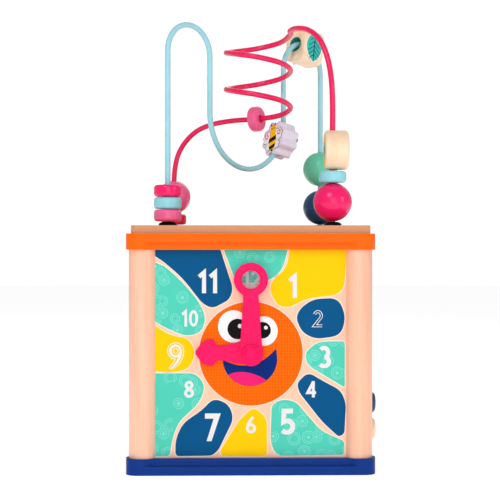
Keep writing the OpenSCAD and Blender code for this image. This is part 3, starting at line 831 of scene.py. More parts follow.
# Petals of the clock: colour and corners in mm, across from the middle and up from the floor.
# A third number is that corner's own rounding.
PETALS = {
    1: ("yellow", [(46, 266, 0), (42, 241), (25, 227), (22, 214), (32, 197), (45, 195), (66, 206),
                   (109, 210.5),
                   (113.5, 266, 0)]),
    2: ("navy", [(53, 183), (58, 194), (73, 205), (103, 206.5), (112, 184), (105.5, 162), (76, 158),
                 (60, 166)]),
    3: ("mint", [(63, 141), (78, 155), (110.5, 155.5, 4), (110.5, 101, 3), (67, 127, 8)]),
    4: ("navy", [(54, 106), (67, 119.5), (86, 108), (105.5, 98), (112, 83), (110, 47), (103.5, 43),
                 (84.5, 60),
                 (57, 95)]),
    5: ("mint", [(24.5, 82), (38, 87.5), (53, 84.5), (68, 67), (82.5, 50), (110, 38, 4), (109.5, 22, 4),
                 (30, 21),
                 (23, 37)]),
    6: ("yellow", [(3, 78.5, 8), (-14, 63), (-28, 40), (-36, 27), (-34, 21, 3), (19, 21, 4), (19, 66)]),
    7: ("navy", [(-44, 89), (-57, 75), (-80, 59.5), (-88.5, 40), (-88.5, 21, 5), (-45.5, 21.5, 5), (-38, 28),
                 (-20, 65), (-26, 82)]),
    8: ("mint", [(-115, 118, 0), (-64.5, 118), (-53.5, 104), (-60, 83.5), (-85, 61), (-92.5, 40),
                 (-95, 21, 5),
                 (-115, 21, 0)]),
    9: ("yellow", [(-115, 176, 0), (-108, 171, 6), (-93.5, 162.5), (-72.5, 159), (-64.5, 142), (-72.5, 123),
                   (-91, 119.5), (-115, 120.5, 0)]),
    10: ("mint", [(-115, 248.5, 0), (-102, 244.5, 6), (-81, 226), (-61, 202), (-52.5, 184), (-58, 165.5),
                  (-77, 161.5),
                  (-100, 171.5), (-115, 180, 0)]),
    11: ("navy", [(-115, 266, 0), (-115, 256.5, 0), (-105, 251, 6), (-81, 231), (-57, 200), (-45, 194),
                  (-25, 204.5),
                  (-21, 217.5), (-36, 266, 0)]),
    12: ("mint", [(-32, 266, 0), (-20, 231), (-12, 224), (20, 225), (38, 240), (43.5, 266, 0)]),
}
# Numbers: their middles and heights in mm
NUMBERS = {1: (51, 220, 27), 2: (79, 182, 20), 3: (87, 137, 26), 4: (71, 99.5, 20), 5: (43.5, 61, 30),
           6: (0, 57.5, 20), 7: (-46.5, 54.5, 32), 8: (-72.5, 99.5, 20), 9: (-88.5, 138, 30),
           10: (-72, 182.5, 19), 11: (-49, 225, 26),
           12: (0.5, 228, 20)}
AXLE_BORE = 4.06
OPEN_NUMBER = 2
DOUBLE_NUMBER = 9


def bowl(x, y, across, up, start, end):
    """Curved stroke of a number, along an ellipse between two angles."""
    return [(x + across * (px - x), y + up * (py - y)) for px, py in arc((x, y), 1.0, start, end, 14)]


# Centre lines of the digits' strokes in a box one unit high, and their rings: middle, half width, half height
DIGITS = {
    "0": ([], [(0.28, 0.5, 0.2, 0.42)]),
    "1": ([[(0.08, 0.74), (0.3, 0.94), (0.3, 0.0)]], []),
    "2": ([bowl(0.27, 0.68, 0.2, 0.235, 160, -30) + [(0.06, 0.08), (0.52, 0.08)]], []),
    "3": ([bowl(0.25, 0.7, 0.18, 0.215, 145, -85), bowl(0.25, 0.29, 0.21, 0.21, 85, -148)], []),
    "4": ([[(0.4, 0.0), (0.4, 0.96)], [(0.41, 0.93), (0.07, 0.28), (0.56, 0.28)]], []),
    "5": ([[(0.48, 0.92), (0.13, 0.92), (0.11, 0.5)] + bowl(0.24, 0.31, 0.23, 0.23, 112, -140)], []),
    "6": ([[(0.43, 0.96), (0.24, 0.74), (0.11, 0.48), (0.085, 0.32)]], [(0.29, 0.29, 0.205, 0.21)]),
    "7": ([[(0.05, 0.92), (0.5, 0.92), (0.2, -0.06)]], []),
    "8": ([], [(0.28, 0.27, 0.205, 0.195), (0.28, 0.73, 0.17, 0.18)]),
    "9": ([[(0.1, -0.04), (0.34, 0.26), (0.47, 0.52), (0.495, 0.68)]], [(0.29, 0.71, 0.205, 0.21)]),
}


def ribbon(path, width):
    """Closed outline of a stroke of one width along a path."""
    sides = ([], [])
    for i, point in enumerate(path):
        here = Vector(point)
        into = here - Vector(path[i - 1]) if i > 0 else Vector(path[1]) - here
        away = Vector(path[i + 1]) - here if i < len(path) - 1 else into
        along = (into.normalized() + away.normalized()).normalized()
        reach = width / 2 / max(0.45, along.dot(into.normalized()))
        for row, turn in zip(sides, (1, -1)):
            row.append((here.x - turn * along.y * reach, here.y + turn * along.x * reach))
    return sides[0] + sides[1][::-1]


def add_number(bm, text, centre, height, low, high, where, weight=0.17):
    """Adds a number, in metres about its centre, to a bmesh as flat strokes."""
    step = 0.5
    wide = step * (len(text) - 1) + 0.56
    for place_in_row, digit in enumerate(text):
        strokes, rings = DIGITS[digit]
        shift = place_in_row * step - wide / 2

        def fit(points):
            return [(centre[0] + (x + shift) * height, centre[1] + (max(0.0, y) - 0.5) * height)
                    for x, y in points]

        for count, stroke in enumerate(strokes):
            add_slab(bm, fit(ribbon(stroke, weight)), low, high + count * 0.01 * MM, where)
        for count, (x, y, across, up) in enumerate(rings, 2):
            outer = ellipse((x, y), 2 * across + weight, 2 * up + weight)
            inner = ellipse((x, y), 2 * across - weight, 2 * up - weight)
            add_ring(bm, fit(outer), fit(inner), low, high + count * 0.01 * MM, where)


def printed(name, shapes, side, level, material):
    """One piece of print on a panel: closed flat shapes given in mm, on layer number level."""
    layer = bpy.context.scene.cube_clock.ink
    bm = bmesh.new()
    for outline in shapes:
        add_slab(bm, in_mm(outline), 0.2 * layer, layer * level, on_panel(side))
    return place(new_piece(name, bm, 60), material, body="root")


def clipped(outline, half=113.5, low=18.0, high=264.0):
    """Keeps an outline within the part of the panel that shows."""
    return [(max(-half, min(half, x)), max(low, min(high, z))) for x, z in outline]


class CUBE_OT_clock_print(bpy.types.Operator):
    """Print the petals, numbers and face on the clock panel"""
    bl_idname = "cube.clock_print"
    bl_label = "Clock print"

    def execute(self, context):
        sizes = context.scene.cube_clock
        bend = sizes.petal_round / MM
        line = sizes.petal_line / MM
        shapes = {hour: clipped(rounded(corners, bend, 8)) for hour, (tone, corners) in PETALS.items()}
        outline = ink("Petal outline", hue("outline"))
        printed("petal_outlines", [clipped(swell(shape, line)) for shape in shapes.values()], FRONT, 1,
                outline)
        inks = {"mint": ink("Mint ink", hue("mint"), hue("mint_doodle"), doodle_group(), 0.75, Density=56.0),
                "navy": ink("Navy ink", hue("navy")), "yellow": ink("Yellow ink", hue("yellow"))}
        for tone, material in inks.items():
            chosen = [shapes[hour] for hour, (petal_tone, corners) in PETALS.items() if petal_tone == tone]
            printed(f"{tone}_petals", chosen, FRONT, 2, material)
        self.print_numbers(sizes)
        self.print_face(sizes)
        return {"FINISHED"}

    def print_numbers(self, sizes):
        layer = sizes.ink
        solid = [number for number in NUMBERS if number not in (OPEN_NUMBER, DOUBLE_NUMBER)]
        passes = {"clock_numbers": (5, 0.0, solid, "White ink"),
                  "open_lines": (4, 0.0, [OPEN_NUMBER], "White ink"),
                  "open_middles": (5, -0.085, [OPEN_NUMBER], "Navy ink"),
                  "double_lines": (3, 0.06, [DOUBLE_NUMBER], "White ink"),
                  "double_gaps": (4, 0.0, [DOUBLE_NUMBER], "Yellow ink"),
                  "double_middles": (5, -0.1, [DOUBLE_NUMBER], "White ink")}
        for name, (level, extra, chosen, tint) in passes.items():
            bm = bmesh.new()
            for number in chosen:
                x, z, height = NUMBERS[number]
                weight = (0.19 if height > 24 else 0.17) + extra
                add_number(bm, str(number), (x * MM, z * MM), height * MM, 0.5 * layer, layer * level,
                           on_panel(FRONT), weight)
            place(new_piece(name, bm, 60, merge=False), made_before(tint), body="root")

    def print_face(self, sizes):
        hub = centre_of("clock_axle").z / MM
        radius = sizes.face_radius / MM
        ruled = ink("Ruled orange ink", hue("orange"), hue("orange_line"), ruled_group(), 0.75,
                    Pitch=sizes.rule_pitch)
        face = ellipse((0, hub - 1), 2 * radius, 2 * radius, steps=128)
        printed("face_outline", [swell(face, 1.0)], FRONT, 1, ink("Petal outline", hue("outline")))
        printed("face_disc", [face], FRONT, 2, ruled)
        eyes = [ellipse((-20.5, hub + 31), 36, 38), ellipse((16, hub + 25.5), 31, 34.5)]
        printed("eye_whites", eyes, FRONT, 3, ink("White ink", hue("white")))
        pupils = [ellipse((-15.5, hub + 28), 24, 24), ellipse((13.5, hub + 26.5), 20, 19.5)]
        printed("pupils", pupils, FRONT, 4, ink("Black ink", hue("black")))
        glints = [ellipse((-12.8, hub + 31.5), 5, 5), ellipse((17.6, hub + 29.5), 4.4, 4.4)]
        printed("eye_glints", glints, FRONT, 5, ink("White ink", hue("white")))
        centre, reach = (-1, hub - 7), 32
        jaw = arc(centre, reach, 4, -178, 28)
        lip = [curve_point((-33, hub - 8), (2, hub - 27), (29.8, hub + 5), i / 20) for i in range(1, 21)]
        printed("smile", [jaw + lip], FRONT, 3, ink("Mouth ink", hue("mouth")))
        back = [curve_point((-25.8, hub - 25), (-6, hub - 17.5), (17.5, hub - 31.5), i / 14)
                for i in range(1, 14)]
        printed("tongue", [arc(centre, reach - 0.3, -53, -143, 18) + back], FRONT, 4,
                ink("Tongue ink", hue("tongue")))


def curve_point(start, pull, end, t):
    """Point of a simple curve from start to end, drawn towards pull."""
    return tuple(a * (1 - t) ** 2 + 2 * b * t * (1 - t) + c * t ** 2 for a, b, c in zip(start, pull, end))


class CUBE_OT_clock_hands(bpy.types.Operator):
    """Build the two hands, the clear lens, the hub cap, the axle and its washer"""
    bl_idname = "cube.clock_hands"
    bl_label = "Clock hands"

    def execute(self, context):
        pink = moulded_plastic("Pink plastic", hue("pink_plastic"), 0.26)
        place(self.hour_hand(), pink, "hour_hand")
        place(softened("minute_hand_moulding", "minute_hand", 1.1 * MM, 4, 28), pink, "minute_hand")
        low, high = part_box("hand_lens")
        facing = Matrix.Rotation(math.radians(90), 4, "X")
        lens_place = Matrix.Translation(((low.x + high.x) / 2, high.y, (low.z + high.z) / 2)) @ facing
        radius, depth = (high.x - low.x) / 2, high.y - low.y
        dome = [(radius * i / 10, depth * (1 - 0.45 * (i / 10) ** 2)) for i in range(11)]
        place(lathe("lens_disc", [(0.0, 0.0), (radius, 0.0)] + dome[::-1], lens_place, 64), clear_lens(),
              "hand_lens")
        ring = arc((radius - 0.4 * MM, 2.2 * MM), 0.9 * MM, 0, 360, 12)[:-1]
        place(lathe("lens_rim", ring, lens_place, 64, closed=True), pink, body="minute_hand")
        low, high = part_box("hub_cap")
        cap_place = Matrix.Translation(((low.x + high.x) / 2, high.y, (low.z + high.z) / 2)) @ facing
        reach, tall = (high.x - low.x) / 2, high.y - low.y
        cap = [(0.0, 0.1 * MM), (reach, 0.1 * MM), (reach, tall * 0.55), (reach * 0.97, tall * 0.72),
               (reach * 0.9, tall * 0.82), (reach * 0.8, tall * 0.8), (reach * 0.76, tall * 0.7),
               (reach * 0.72, tall * 0.8), (reach * 0.6, tall * 0.94), (reach * 0.3, tall * 0.99),
               (0.0, tall)]
        place(lathe("hub_cap_button", cap, cap_place, 72, smooth_angle=50), pink, "hub_cap")
        repaint(plated_steel(), "clock_axle")
        repaint(moulded_plastic("White plastic", hue("white")), "hand_washer")
        return {"FINISHED"}

    def hour_hand(self):
        """Hand with a rounded spade for its head, its hub bored for the axle."""
        low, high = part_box("hour_hand")
        spade = rounded([(-13.2, 12.6, 0), (-39.5, 7.4, 7), (-44, 16.5, 4.5), (-56, 14.5, 7), (-66, 0.6, 3),
                         (-56, -13.5, 7), (-44, -15.5, 4.5), (-39.5, -7.4, 7), (-13.2, -12.6, 0)], 5)
        outline = list(dict.fromkeys(spade + arc((0, 0), 14, -112, 112, 30)))
        where = Matrix.Translation((0, high.y, centre_of("clock_axle").z)) @ Matrix.Rotation(math.radians(90),
                                                                                             4, "X")
        bm = bmesh.new()
        add_slab(bm, in_mm(outline[::-1]), 0.0, high.y - low.y, where)
        hand = new_piece("hour_hand_moulding", bm)
        drill(hand, AXLE_BORE * MM, 0.03, where)
        return soft_edges(hand, 1.1 * MM, 4, 50)


# ---- bead maze ----

# Places of the wires, in mm
FOOT = 99.0
WIRE_LOW = 274.0
BLUE_LEGS = (-FOOT, -49.0, 46.5, FOOT)
BLUE_ARCH_TOP = 537.0
BLUE_DIP_BOTTOM = 366.0
HELIX_MIDDLE = 12.5
HELIX_TOP = 538.0
# Given points of the pink wire before and after its helix
PINK_RISE = [(FOOT, -FOOT, WIRE_LOW), (FOOT, -FOOT, 320), (FOOT, -FOOT, 360), (FOOT, -FOOT, 400),
             (FOOT, -FOOT, 440),
             (97.5, -97, 470), (93, -91, 497), (84.5, -81, 519), (72, -65, 533), (59, -44, 538.5),
             (52, -22, 539),
             (53, -2, 537.5)]
PINK_FALL = [(42, 28, 438), (14, 45, 434.5), (-16, 60, 434), (-44, 76, 431), (-66, 88, 423.5), (-82, 95, 410),
             (-93, 98.5, 392), (-98, FOOT, 370), (-FOOT, FOOT, 345), (-FOOT, FOOT, 310),
             (-FOOT, FOOT, WIRE_LOW)]
# Plain beads: colour and, for a ball, its diameter in mm
DISCS = {"light_pink_disc": "light_pink", "sky_disc": "sky", "hot_pink_disc": "hot_pink", "red_disc": "red",
         "sky_ring_disc": "sky"}
BALLS = {"light_pink_ball": ("light_pink", 44.5), "hot_pink_ball": ("hot_pink", 46.5),
         "navy_ball": ("deep_navy", 46.5), "green_ball": ("green", 46.5)}
DISC_RADIUS = 16.5
DISC_THICK = 14.0
BORE = 4.6


def blue_route():
    """The blue wire's two arches and the dip between them, in the upright plane across the corners."""
    legs = [leg * math.sqrt(2) for leg in BLUE_LEGS]
    line = [(legs[0], WIRE_LOW)]
    for i, (rise, steps) in enumerate(((1, 28), (-1, 44), (1, 28))):
        radius = (legs[i + 1] - legs[i]) / 2
        spring = BLUE_ARCH_TOP - radius if rise > 0 else BLUE_DIP_BOTTOM + radius
        loop = arc((0, 0), radius, 180, 0, steps)
        line += [(legs[i] + radius + x, spring + rise * z) for x, z in loop]
    line.append((legs[3], WIRE_LOW))
    return [Vector((s / math.sqrt(2), s / math.sqrt(2), z)) * MM for s, z in line]


def smooth_through(points, steps):
    """Smooth curve through given points."""
    path = []
    last = len(points) - 1
    for i in range(last):
        a, b, c, d = (Vector(points[max(0, min(last, i + k))]) for k in (-1, 0, 1, 2))
        for k in range(steps):
            t = k / steps
            path.append((2 * b + (c - a) * t + (2 * a - 5 * b + 4 * c - d) * t * t
                         + (3 * b - a - 3 * c + d) * t ** 3) * 0.5)
    return path + [Vector(points[-1])]


def pink_route(maze):
    steps = 8
    helix = []
    for i in range(1, round(maze.helix_turns * steps) + 1):
        a = 2 * math.pi * i / steps
        radius = maze.helix_radius / MM
        helix.append((HELIX_MIDDLE + radius * math.cos(a), radius * math.sin(a),
                      HELIX_TOP - maze.helix_pitch / MM * i / steps))
    return [point * MM for point in smooth_through(PINK_RISE + helix + PINK_FALL, 10)]


def chain(name, points):
    """Object of one row of edges."""
    mesh = bpy.data.meshes.new(name)
    mesh.from_pydata([tuple(p) for p in points], [(i, i + 1) for i in range(len(points) - 1)], [])
    obj = bpy.data.objects.new(name, mesh)
    bpy.context.scene.collection.objects.link(obj)
    return obj


def repaint(material, *nodes):
    """Gives CAD nodes that keep their shape a better material."""
    for node in nodes:
        slots = frame["nodes"][node].data.materials
        slots.clear()
        slots.append(material)


def carve(obj, cutter):
    """Cuts one piece out of another and removes the cutter."""
    cut = obj.modifiers.new("Cut", "BOOLEAN")
    cut.operation = "DIFFERENCE"
    cut.solver = "EXACT"
    cut.object = cutter
    apply_modifiers(obj)
    bpy.data.objects.remove(cutter)


def soft_edges(obj, width, segments, angle):
    bevel = obj.modifiers.new("Soft edges", "BEVEL")
    bevel.width = width
    bevel.segments = segments
    bevel.limit_method = "ANGLE"
    bevel.angle_limit = math.radians(angle)
    bevel.harden_normals = True
    apply_modifiers(obj)
    return obj


class CUBE_OT_wires(bpy.types.Operator):
    """Sweep the two coated wires of the bead maze"""
    bl_idname = "cube.wires"
    bl_label = "Wires"

    def execute(self, context):
        maze = context.scene.cube_maze
        for node, route, tint in (("blue_wire", blue_route(), "blue_coat"),
                                  ("pink_wire", pink_route(maze), "pink_coat")):
            wire = chain(node + "_rod", route)
            coat = coated_wire(node.replace("_", " ").title() + " coating", hue(tint))
            run_tree(wire, tube_tree(), {"Radius": maze.wire / 2, "Sides": maze.wire_sides, "Material": coat})
            place(wire, None, node)
        return {"FINISHED"}


class CUBE_OT_fixings(bpy.types.Operator):
    """Build the glands, nuts and screws that hold the wires, posts and board"""
    bl_idname = "cube.fixings"
    bl_label = "Fixings"

    def execute(self, context):
        steel = plated_steel()
        black = moulded_plastic("Black plastic", hue("black"), 0.3)
        board_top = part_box("top_board")[1].z
        feet = [Vector((x * FOOT * MM, y * FOOT * MM, board_top)) for x in (-1, 1) for y in (-1, 1)]
        dome = [(3.65, 0.1), (10.5, 0.1)] + arc((9.9, 0.9), 0.6, -60, 30, 3) + arc((4.6, -4.2), 9.2, 42, 88,
                                                                                   8) + [(3.65, 4.7)]
        gland = lathe("gland", in_mm(dome), Matrix.Identity(4), 56, closed=True, smooth_angle=50)
        place(copies_at("wire_glands_black", gland, feet, black), None, "wire_glands")
        recess = context.scene.cube_toys.screw_recess
        for node, head, tall, shank in (("post_screws", 4.8, 3.3, 2.0), ("board_screws", 3.2, 1.6, 1.75)):
            low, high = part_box(node)
            reach = high.x - head * MM
            spots = [(x * reach, y * reach, low.z) for x in (-1, 1) for y in (-1, 1)]
            if node == "board_screws":
                spots = [(reach, 0, low.z), (-reach, 0, low.z), (0, reach, low.z), (0, -reach, low.z)]
            screw = self.screw(node, head * MM, tall * MM, shank * MM, high.z - low.z, recess * head / 4.8)
            place(copies_at(node + "_steel", screw, spots, steel), None, node)
        repaint(steel, "clock_nut", "wire_nuts", "gear_nuts")
        return {"FINISHED"}

    def screw(self, name, head, tall, shank, long, recess):
        """Pan-head wood screw with its head down, its cross recess facing down and a thread of ridges."""
        profile = [(0.0, 0.0), (head * 0.7, 0.0), (head * 0.92, tall * 0.22), (head, tall * 0.6),
                   (head, tall),
                   (shank, tall)]
        turns = 8
        start = tall + (long - tall) * 0.25
        pitch = (long - start - shank) / turns
        for i in range(turns):
            profile += [(shank * 0.78, start + pitch * i), (shank, start + pitch * (i + 0.5))]
        profile += [(shank * 0.75, long - shank), (0.0, long)]
        obj = lathe(name, profile, Matrix.Identity(4), 28, smooth_angle=40)
        for turn in (0, 90):
            bm = bmesh.new()
            add_slab(bm, box_outline(head * 1.1, head * 0.24, head * 0.1, steps=1), -recess, recess,
                     Matrix.Rotation(math.radians(turn), 4, "Z"))
            carve(obj, new_piece("cross", bm))
        return obj


def disc_section(outer, thick, bore, bend):
    """Section of a bead from its bore round its rim, centred on its middle."""
    half = thick / 2
    lip = bend * 0.3
    foot = arc((bore + lip, lip - half), lip, 180, 270, 3)
    rim = arc((outer - bend, bend - half), bend, -90, 0, 8) + arc((outer - bend, half - bend), bend, 0, 90, 8)
    return foot + rim + arc((bore + lip, half - lip), lip, 90, 180, 3)


def ball_section(diameter, bore):
    """Section of a bored ball with small flats at its ends."""
    radius = diameter / 2
    half = radius - 0.6
    reach = math.degrees(math.asin(half / radius))
    return [(bore, 0.5 - half), (bore + 0.3, -half)] + arc((0, 0), radius, -reach, reach, 44) + [
        (bore + 0.3, half), (bore, half - 0.5)]


class CUBE_OT_plain_beads(bpy.types.Operator):
    """Turn the painted balls and disc beads"""
    bl_idname = "cube.plain_beads"
    bl_label = "Plain beads"

    def execute(self, context):
        bend = context.scene.cube_maze.bead_round / MM
        section = in_mm(disc_section(DISC_RADIUS, DISC_THICK, BORE, bend))
        for node, tint in DISCS.items():
            bead = lathe(node + "_bead", section, Matrix.Translation(centre_of(node)), 72, closed=True)
            place(bead, toy_paint(tint), node)
        for node, (tint, diameter) in BALLS.items():
            ball = in_mm(ball_section(diameter, BORE))
            bead = lathe(node + "_bead", ball, Matrix.Translation(centre_of(node)), 80, closed=True)
            place(bead, toy_paint(tint), node)
        tilted = joint_frame("helix_disc")
        tilted.translation = centre_of("helix_disc")
        section = in_mm(disc_section(DISC_RADIUS, DISC_THICK, BORE + 0.6, bend * 1.15))
        place(lathe("helix_disc_bead", section, tilted, 72, closed=True),
              toy_paint("light_pink"), "helix_disc")
        return {"FINISHED"}


# ---- picture, bee and leaf beads ----

def pillow(name, outline, half, bend, where):
    """Upright solid of one outline between -half and half, its rims rounded inwards."""
    bm = bmesh.new()
    steps = 5
    levels = []
    for i in range(steps + 1):
        a = math.radians(90 * i / steps)
        levels.append((bend * (1 - math.sin(a)), bend * (1 - math.cos(a)) - half))
    levels += [(inset, -z) for inset, z in reversed(levels)]
    rings = [[bm.verts.new(where @ Vector((x, y, z))) for x, y in swell(outline, -inset)] for inset,
             z in levels]
    for lower, upper in zip(rings, rings[1:]):
        for i in range(len(outline)):
            k = (i + 1) % len(outline)
            bm.faces.new((lower[i], lower[k], upper[k], upper[i]))
    bm.faces.new(list(reversed(rings[0])))
    bm.faces.new(rings[-1])
    return new_piece(name, bm, 40)


def drill(obj, radius, long, where):
    bm = bmesh.new()
    add_lathe(bm, [(0.0, -long / 2), (radius, -long / 2), (radius, long / 2), (0.0, long / 2)], where, 48)
    carve(obj, new_piece("drill", bm))


def stuck_on(name, shapes, where, level, material, body):
    """Print on a bead: closed flat shapes in mm, on the XY plane of where, on layer number level."""
    layer = bpy.context.scene.cube_clock.ink
    bm = bmesh.new()
    for outline in shapes:
        add_slab(bm, in_mm(outline), -0.5 * layer, layer * level, where)
    return place(new_piece(name, bm, 60), material, body=body)


def band(centre, width, low, high, steps=10):
    """Slice of an upright ellipse between two heights, for a bee's stripes."""
    x, y, tall = centre
    heights = [low + (high - low) * i / steps for i in range(steps + 1)]
    reach = [width / 2 * math.sqrt(max(0.0, 1 - ((h - y) / (tall / 2)) ** 2)) for h in heights]
    tilt = [0.16 * (1 if high > low else -1)] * (steps + 1)
    left = [(x - r, h - t * r) for r, h, t in zip(reach, heights, tilt)]
    right = [(x + r, h + t * r) for r, h, t in zip(reach, heights, tilt)]
    return right + list(reversed(left))


class CUBE_OT_picture_beads(bpy.types.Operator):
    """Build the bare wooden picture bead, the flower-shaped bee bead and the leaf bead"""
    bl_idname = "cube.picture_beads"
    bl_label = "Picture beads"

    def execute(self, context):
        wood = bead_wood()
        self.picture_bead(wood)
        self.bee_bead()
        self.leaf_bead()
        return {"FINISHED"}

    def picture_bead(self, wood):
        middle = Matrix.Translation(centre_of("picture_bead"))
        sideways = middle @ Matrix.Rotation(math.radians(90), 4, "Y")
        radius, half = 23.75, 14.25
        corner = arc((radius - 4, half - 4), 4, 90, 0, 7)
        section = [(0.0, half)] + corner + [(x, -z) for x, z in reversed(corner)] + [(0.0, -half)]
        bead = lathe("picture_bead_block", in_mm(section), sideways, 80)
        drill(bead, BORE * MM, 0.06, Matrix.Translation((FOOT * MM, -FOOT * MM, middle.translation.z)))
        place(bead, wood, "picture_bead")
        yellow, green = ink("Yellow ink", hue("yellow")), ink("Green ink", hue("green"))
        for side, turn in (("left", -90), ("right", 90)):
            where = middle @ Matrix.Rotation(math.radians(turn), 4, "Y") @ Matrix.Rotation(math.radians(turn),
                                                                                           4, "Z")
            where = where @ Matrix.Translation((0, 0, half * MM))
            stuck_on(f"picture_{side}_sun", [ellipse((0, 0), 37, 37)], where, 1, yellow, "picture_bead")
            stuck_on(f"picture_{side}_flower", [petals((0, 0), 13, 5, 6, 30)], where, 2, green,
                     "picture_bead")
            stuck_on(f"picture_{side}_middle", [ellipse((0, 0), 9, 9)], where, 3,
                     ink("Mouth ink", hue("mouth")),
                     "picture_bead")

    def bee_bead(self):
        tilt = Matrix.Rotation(math.radians(24), 4, Vector((-1, 1, 0)).normalized())
        bore = Matrix.Translation(centre_of_bore("bee_bead")) @ tilt
        level = Matrix.Rotation(math.radians(13), 4, Vector((-1, 1, 0)).normalized())
        middle = Matrix.Translation(centre_of_bore("bee_bead")) @ level @ Matrix.Rotation(math.radians(-57),
                                                                                          4, "Z")
        upright = middle @ Matrix.Rotation(math.radians(90), 4, "X")
        outline = in_mm(petals((0, 0), 24, 4, 8, 22.5))
        bead = pillow("bee_bead_flower", outline, 12.5 * MM, 1.6 * MM, upright)
        drill(bead, 8.4 * MM, 0.07, bore)
        place(bead, painted_wood("Lilac paint", hue("lilac")), "bee_bead")
        black, gold = ink("Black ink", hue("black")), ink("Yellow ink", hue("yellow"))
        white, pink = ink("White ink", hue("white")), ink("Tongue ink", hue("tongue"))
        for side, turn in (("front", 0), ("back", 180)):
            where = middle @ Matrix.Rotation(math.radians(turn), 4, "Z") @ Matrix.Rotation(math.radians(90),
                                                                                           4, "X")
            where = where @ Matrix.Translation((0, 0, 12.5 * MM)) @ Matrix.Rotation(math.radians(9), 4, "Z")
            wings = [petals((side_x * 11.5, 2.5), reach, 2.4, 7, 12) for side_x,
                     reach in ((-1, 9.4), (1, 9.4))]
            wings += [petals((side_x * 8.5, -10), 6.8, 1.6, 6, 8) for side_x in (-1, 1)]
            ride = (where, "bee_bead", "white_plastic")
            self.layer(f"bee_{side}_wing_lines", [swell(wing, 0.7) for wing in wings], 1, black, ride)
            self.layer(f"bee_{side}_wings", wings, 2, white, ride)
            doodles = [petals((x, 5), 4.2, 1.6, 5, 0) for x in (-13, 13)]
            self.layer(f"bee_{side}_doodles", doodles, 3, pink, ride)
            self.layer(f"bee_{side}_doodle_middles", [ellipse((x, 5), 3.8, 3.8) for x in (-13, 13)], 4, white,
                       ride)
            body = (0, -4.0, 28.0)
            self.layer(f"bee_{side}_body", [ellipse(body[:2], 15, body[2])], 4, gold, ride)
            stripes = [band(body, 15, low, high) for low, high in ((-4.5, 1.2), (-14.6, -9.8))]
            self.layer(f"bee_{side}_stripes", stripes + [ellipse((0, -17), 4, 3)], 5, black, ride)
            self.layer(f"bee_{side}_head", [ellipse((0.5, 13), 11, 10.5)], 5, gold, ride)
            feelers = [stadium((x * 2.2, 16.5), (x * 4.6, 19.6), 0.5) for x in (-1, 1)]
            eyes = [ellipse((x, 13.2), 1.8, 2.2) for x in (-1.8, 2.6)]
            self.layer(f"bee_{side}_lines", feelers + eyes, 6, black, ride)

    def layer(self, name, shapes, level, material, ride):
        where, body, slot = ride
        return stuck_on(name, shapes, where, level, material, body)

    def leaf_bead(self):
        tilt = Matrix.Rotation(math.radians(98), 4, Vector((-1, 1, 0)).normalized())
        middle = Matrix.Translation(centre_of_bore("leaf_bead")) @ tilt
        block = middle @ Matrix.Rotation(math.radians(45), 4, "Z")
        outline = in_mm(box_outline(46, 34, 10, steps=3))
        bead = pillow("leaf_bead_block", outline, 19 * MM, 1.2 * MM, block)
        drill(bead, 10 * MM, 0.06, middle)
        natural = bare_wood("Leaf bead wood", hue("bead_wood"), hue("bead_grain"), (0, math.radians(90), 0),
                            80.0)
        place(bead, natural, "leaf_bead")
        half = 18.6
        lining = [(9.3, -half), (10.15, -half), (10.15, half), (9.3, half)]
        # The lining has the real green of the leaf print, darkened to 0.75 as painted shade inside the bore
        place(lathe("leaf_bead_lining", in_mm(lining), middle, 56, closed=True),
              painted_wood("Lining paint", darker(hue("leaf"), 0.75)), body="leaf_bead")
        teal, navy = ink("Leaf ink", hue("leaf")), ink("Mouth ink", hue("mouth"))
        white = ink("White ink", hue("white"))
        for side, turn in (("front", 90), ("back", -90)):
            where = block @ Matrix.Rotation(math.radians(turn), 4, "X") @ Matrix.Translation((0, 0, 17 * MM))
            leaf = leaf_outline((0, 0), 42, 30, 0)
            ride = (where, "leaf_bead", "mint_paint")
            self.layer(f"leaf_{side}_edge", [clipped_box(swell(leaf, 1.2), 22, 17)], 1, white, ride)
            self.layer(f"leaf_{side}_blade", [leaf], 2, teal, ride)
            veins = [stadium((-19, 0), (19, 0), 0.7)]
            for x in (-13, -7, -1, 5, 11):
                reach = 11 * math.sin(math.pi * (x + 23) / 44) ** 0.9
                veins += [stadium((x, 0), (x + reach * 0.75, s * reach), 0.45, 6) for s in (-1, 1)]
            for number, vein in enumerate(veins):
                self.layer(f"leaf_{side}_vein_{number}", [vein], 3, navy, ride)


def clipped_box(outline, x_reach, y_reach):
    return [(max(-x_reach, min(x_reach, x)), max(-y_reach, min(y_reach, y))) for x, y in outline]


def centre_of_bore(body):
    return Vector(JOINTS[body]["pos_m"]) if body in JOINTS and "pos_m" in JOINTS[body] else centre_of(body)


# ---- toys on the other three sides ----

# Tracks: knob, place across and up in mm, travel across and up, colour of the painted band
TRACKS = [("navy", -60, 75, 0, 155, "sky"), ("wood", -60, 43, 120, 0, "yellow"),
          ("yellow", -8, 95, 0, 135, "navy"),
          ("mint", 70, 85, 0, 145, "hot_pink")]
SLOT_RADIUS = 4.25
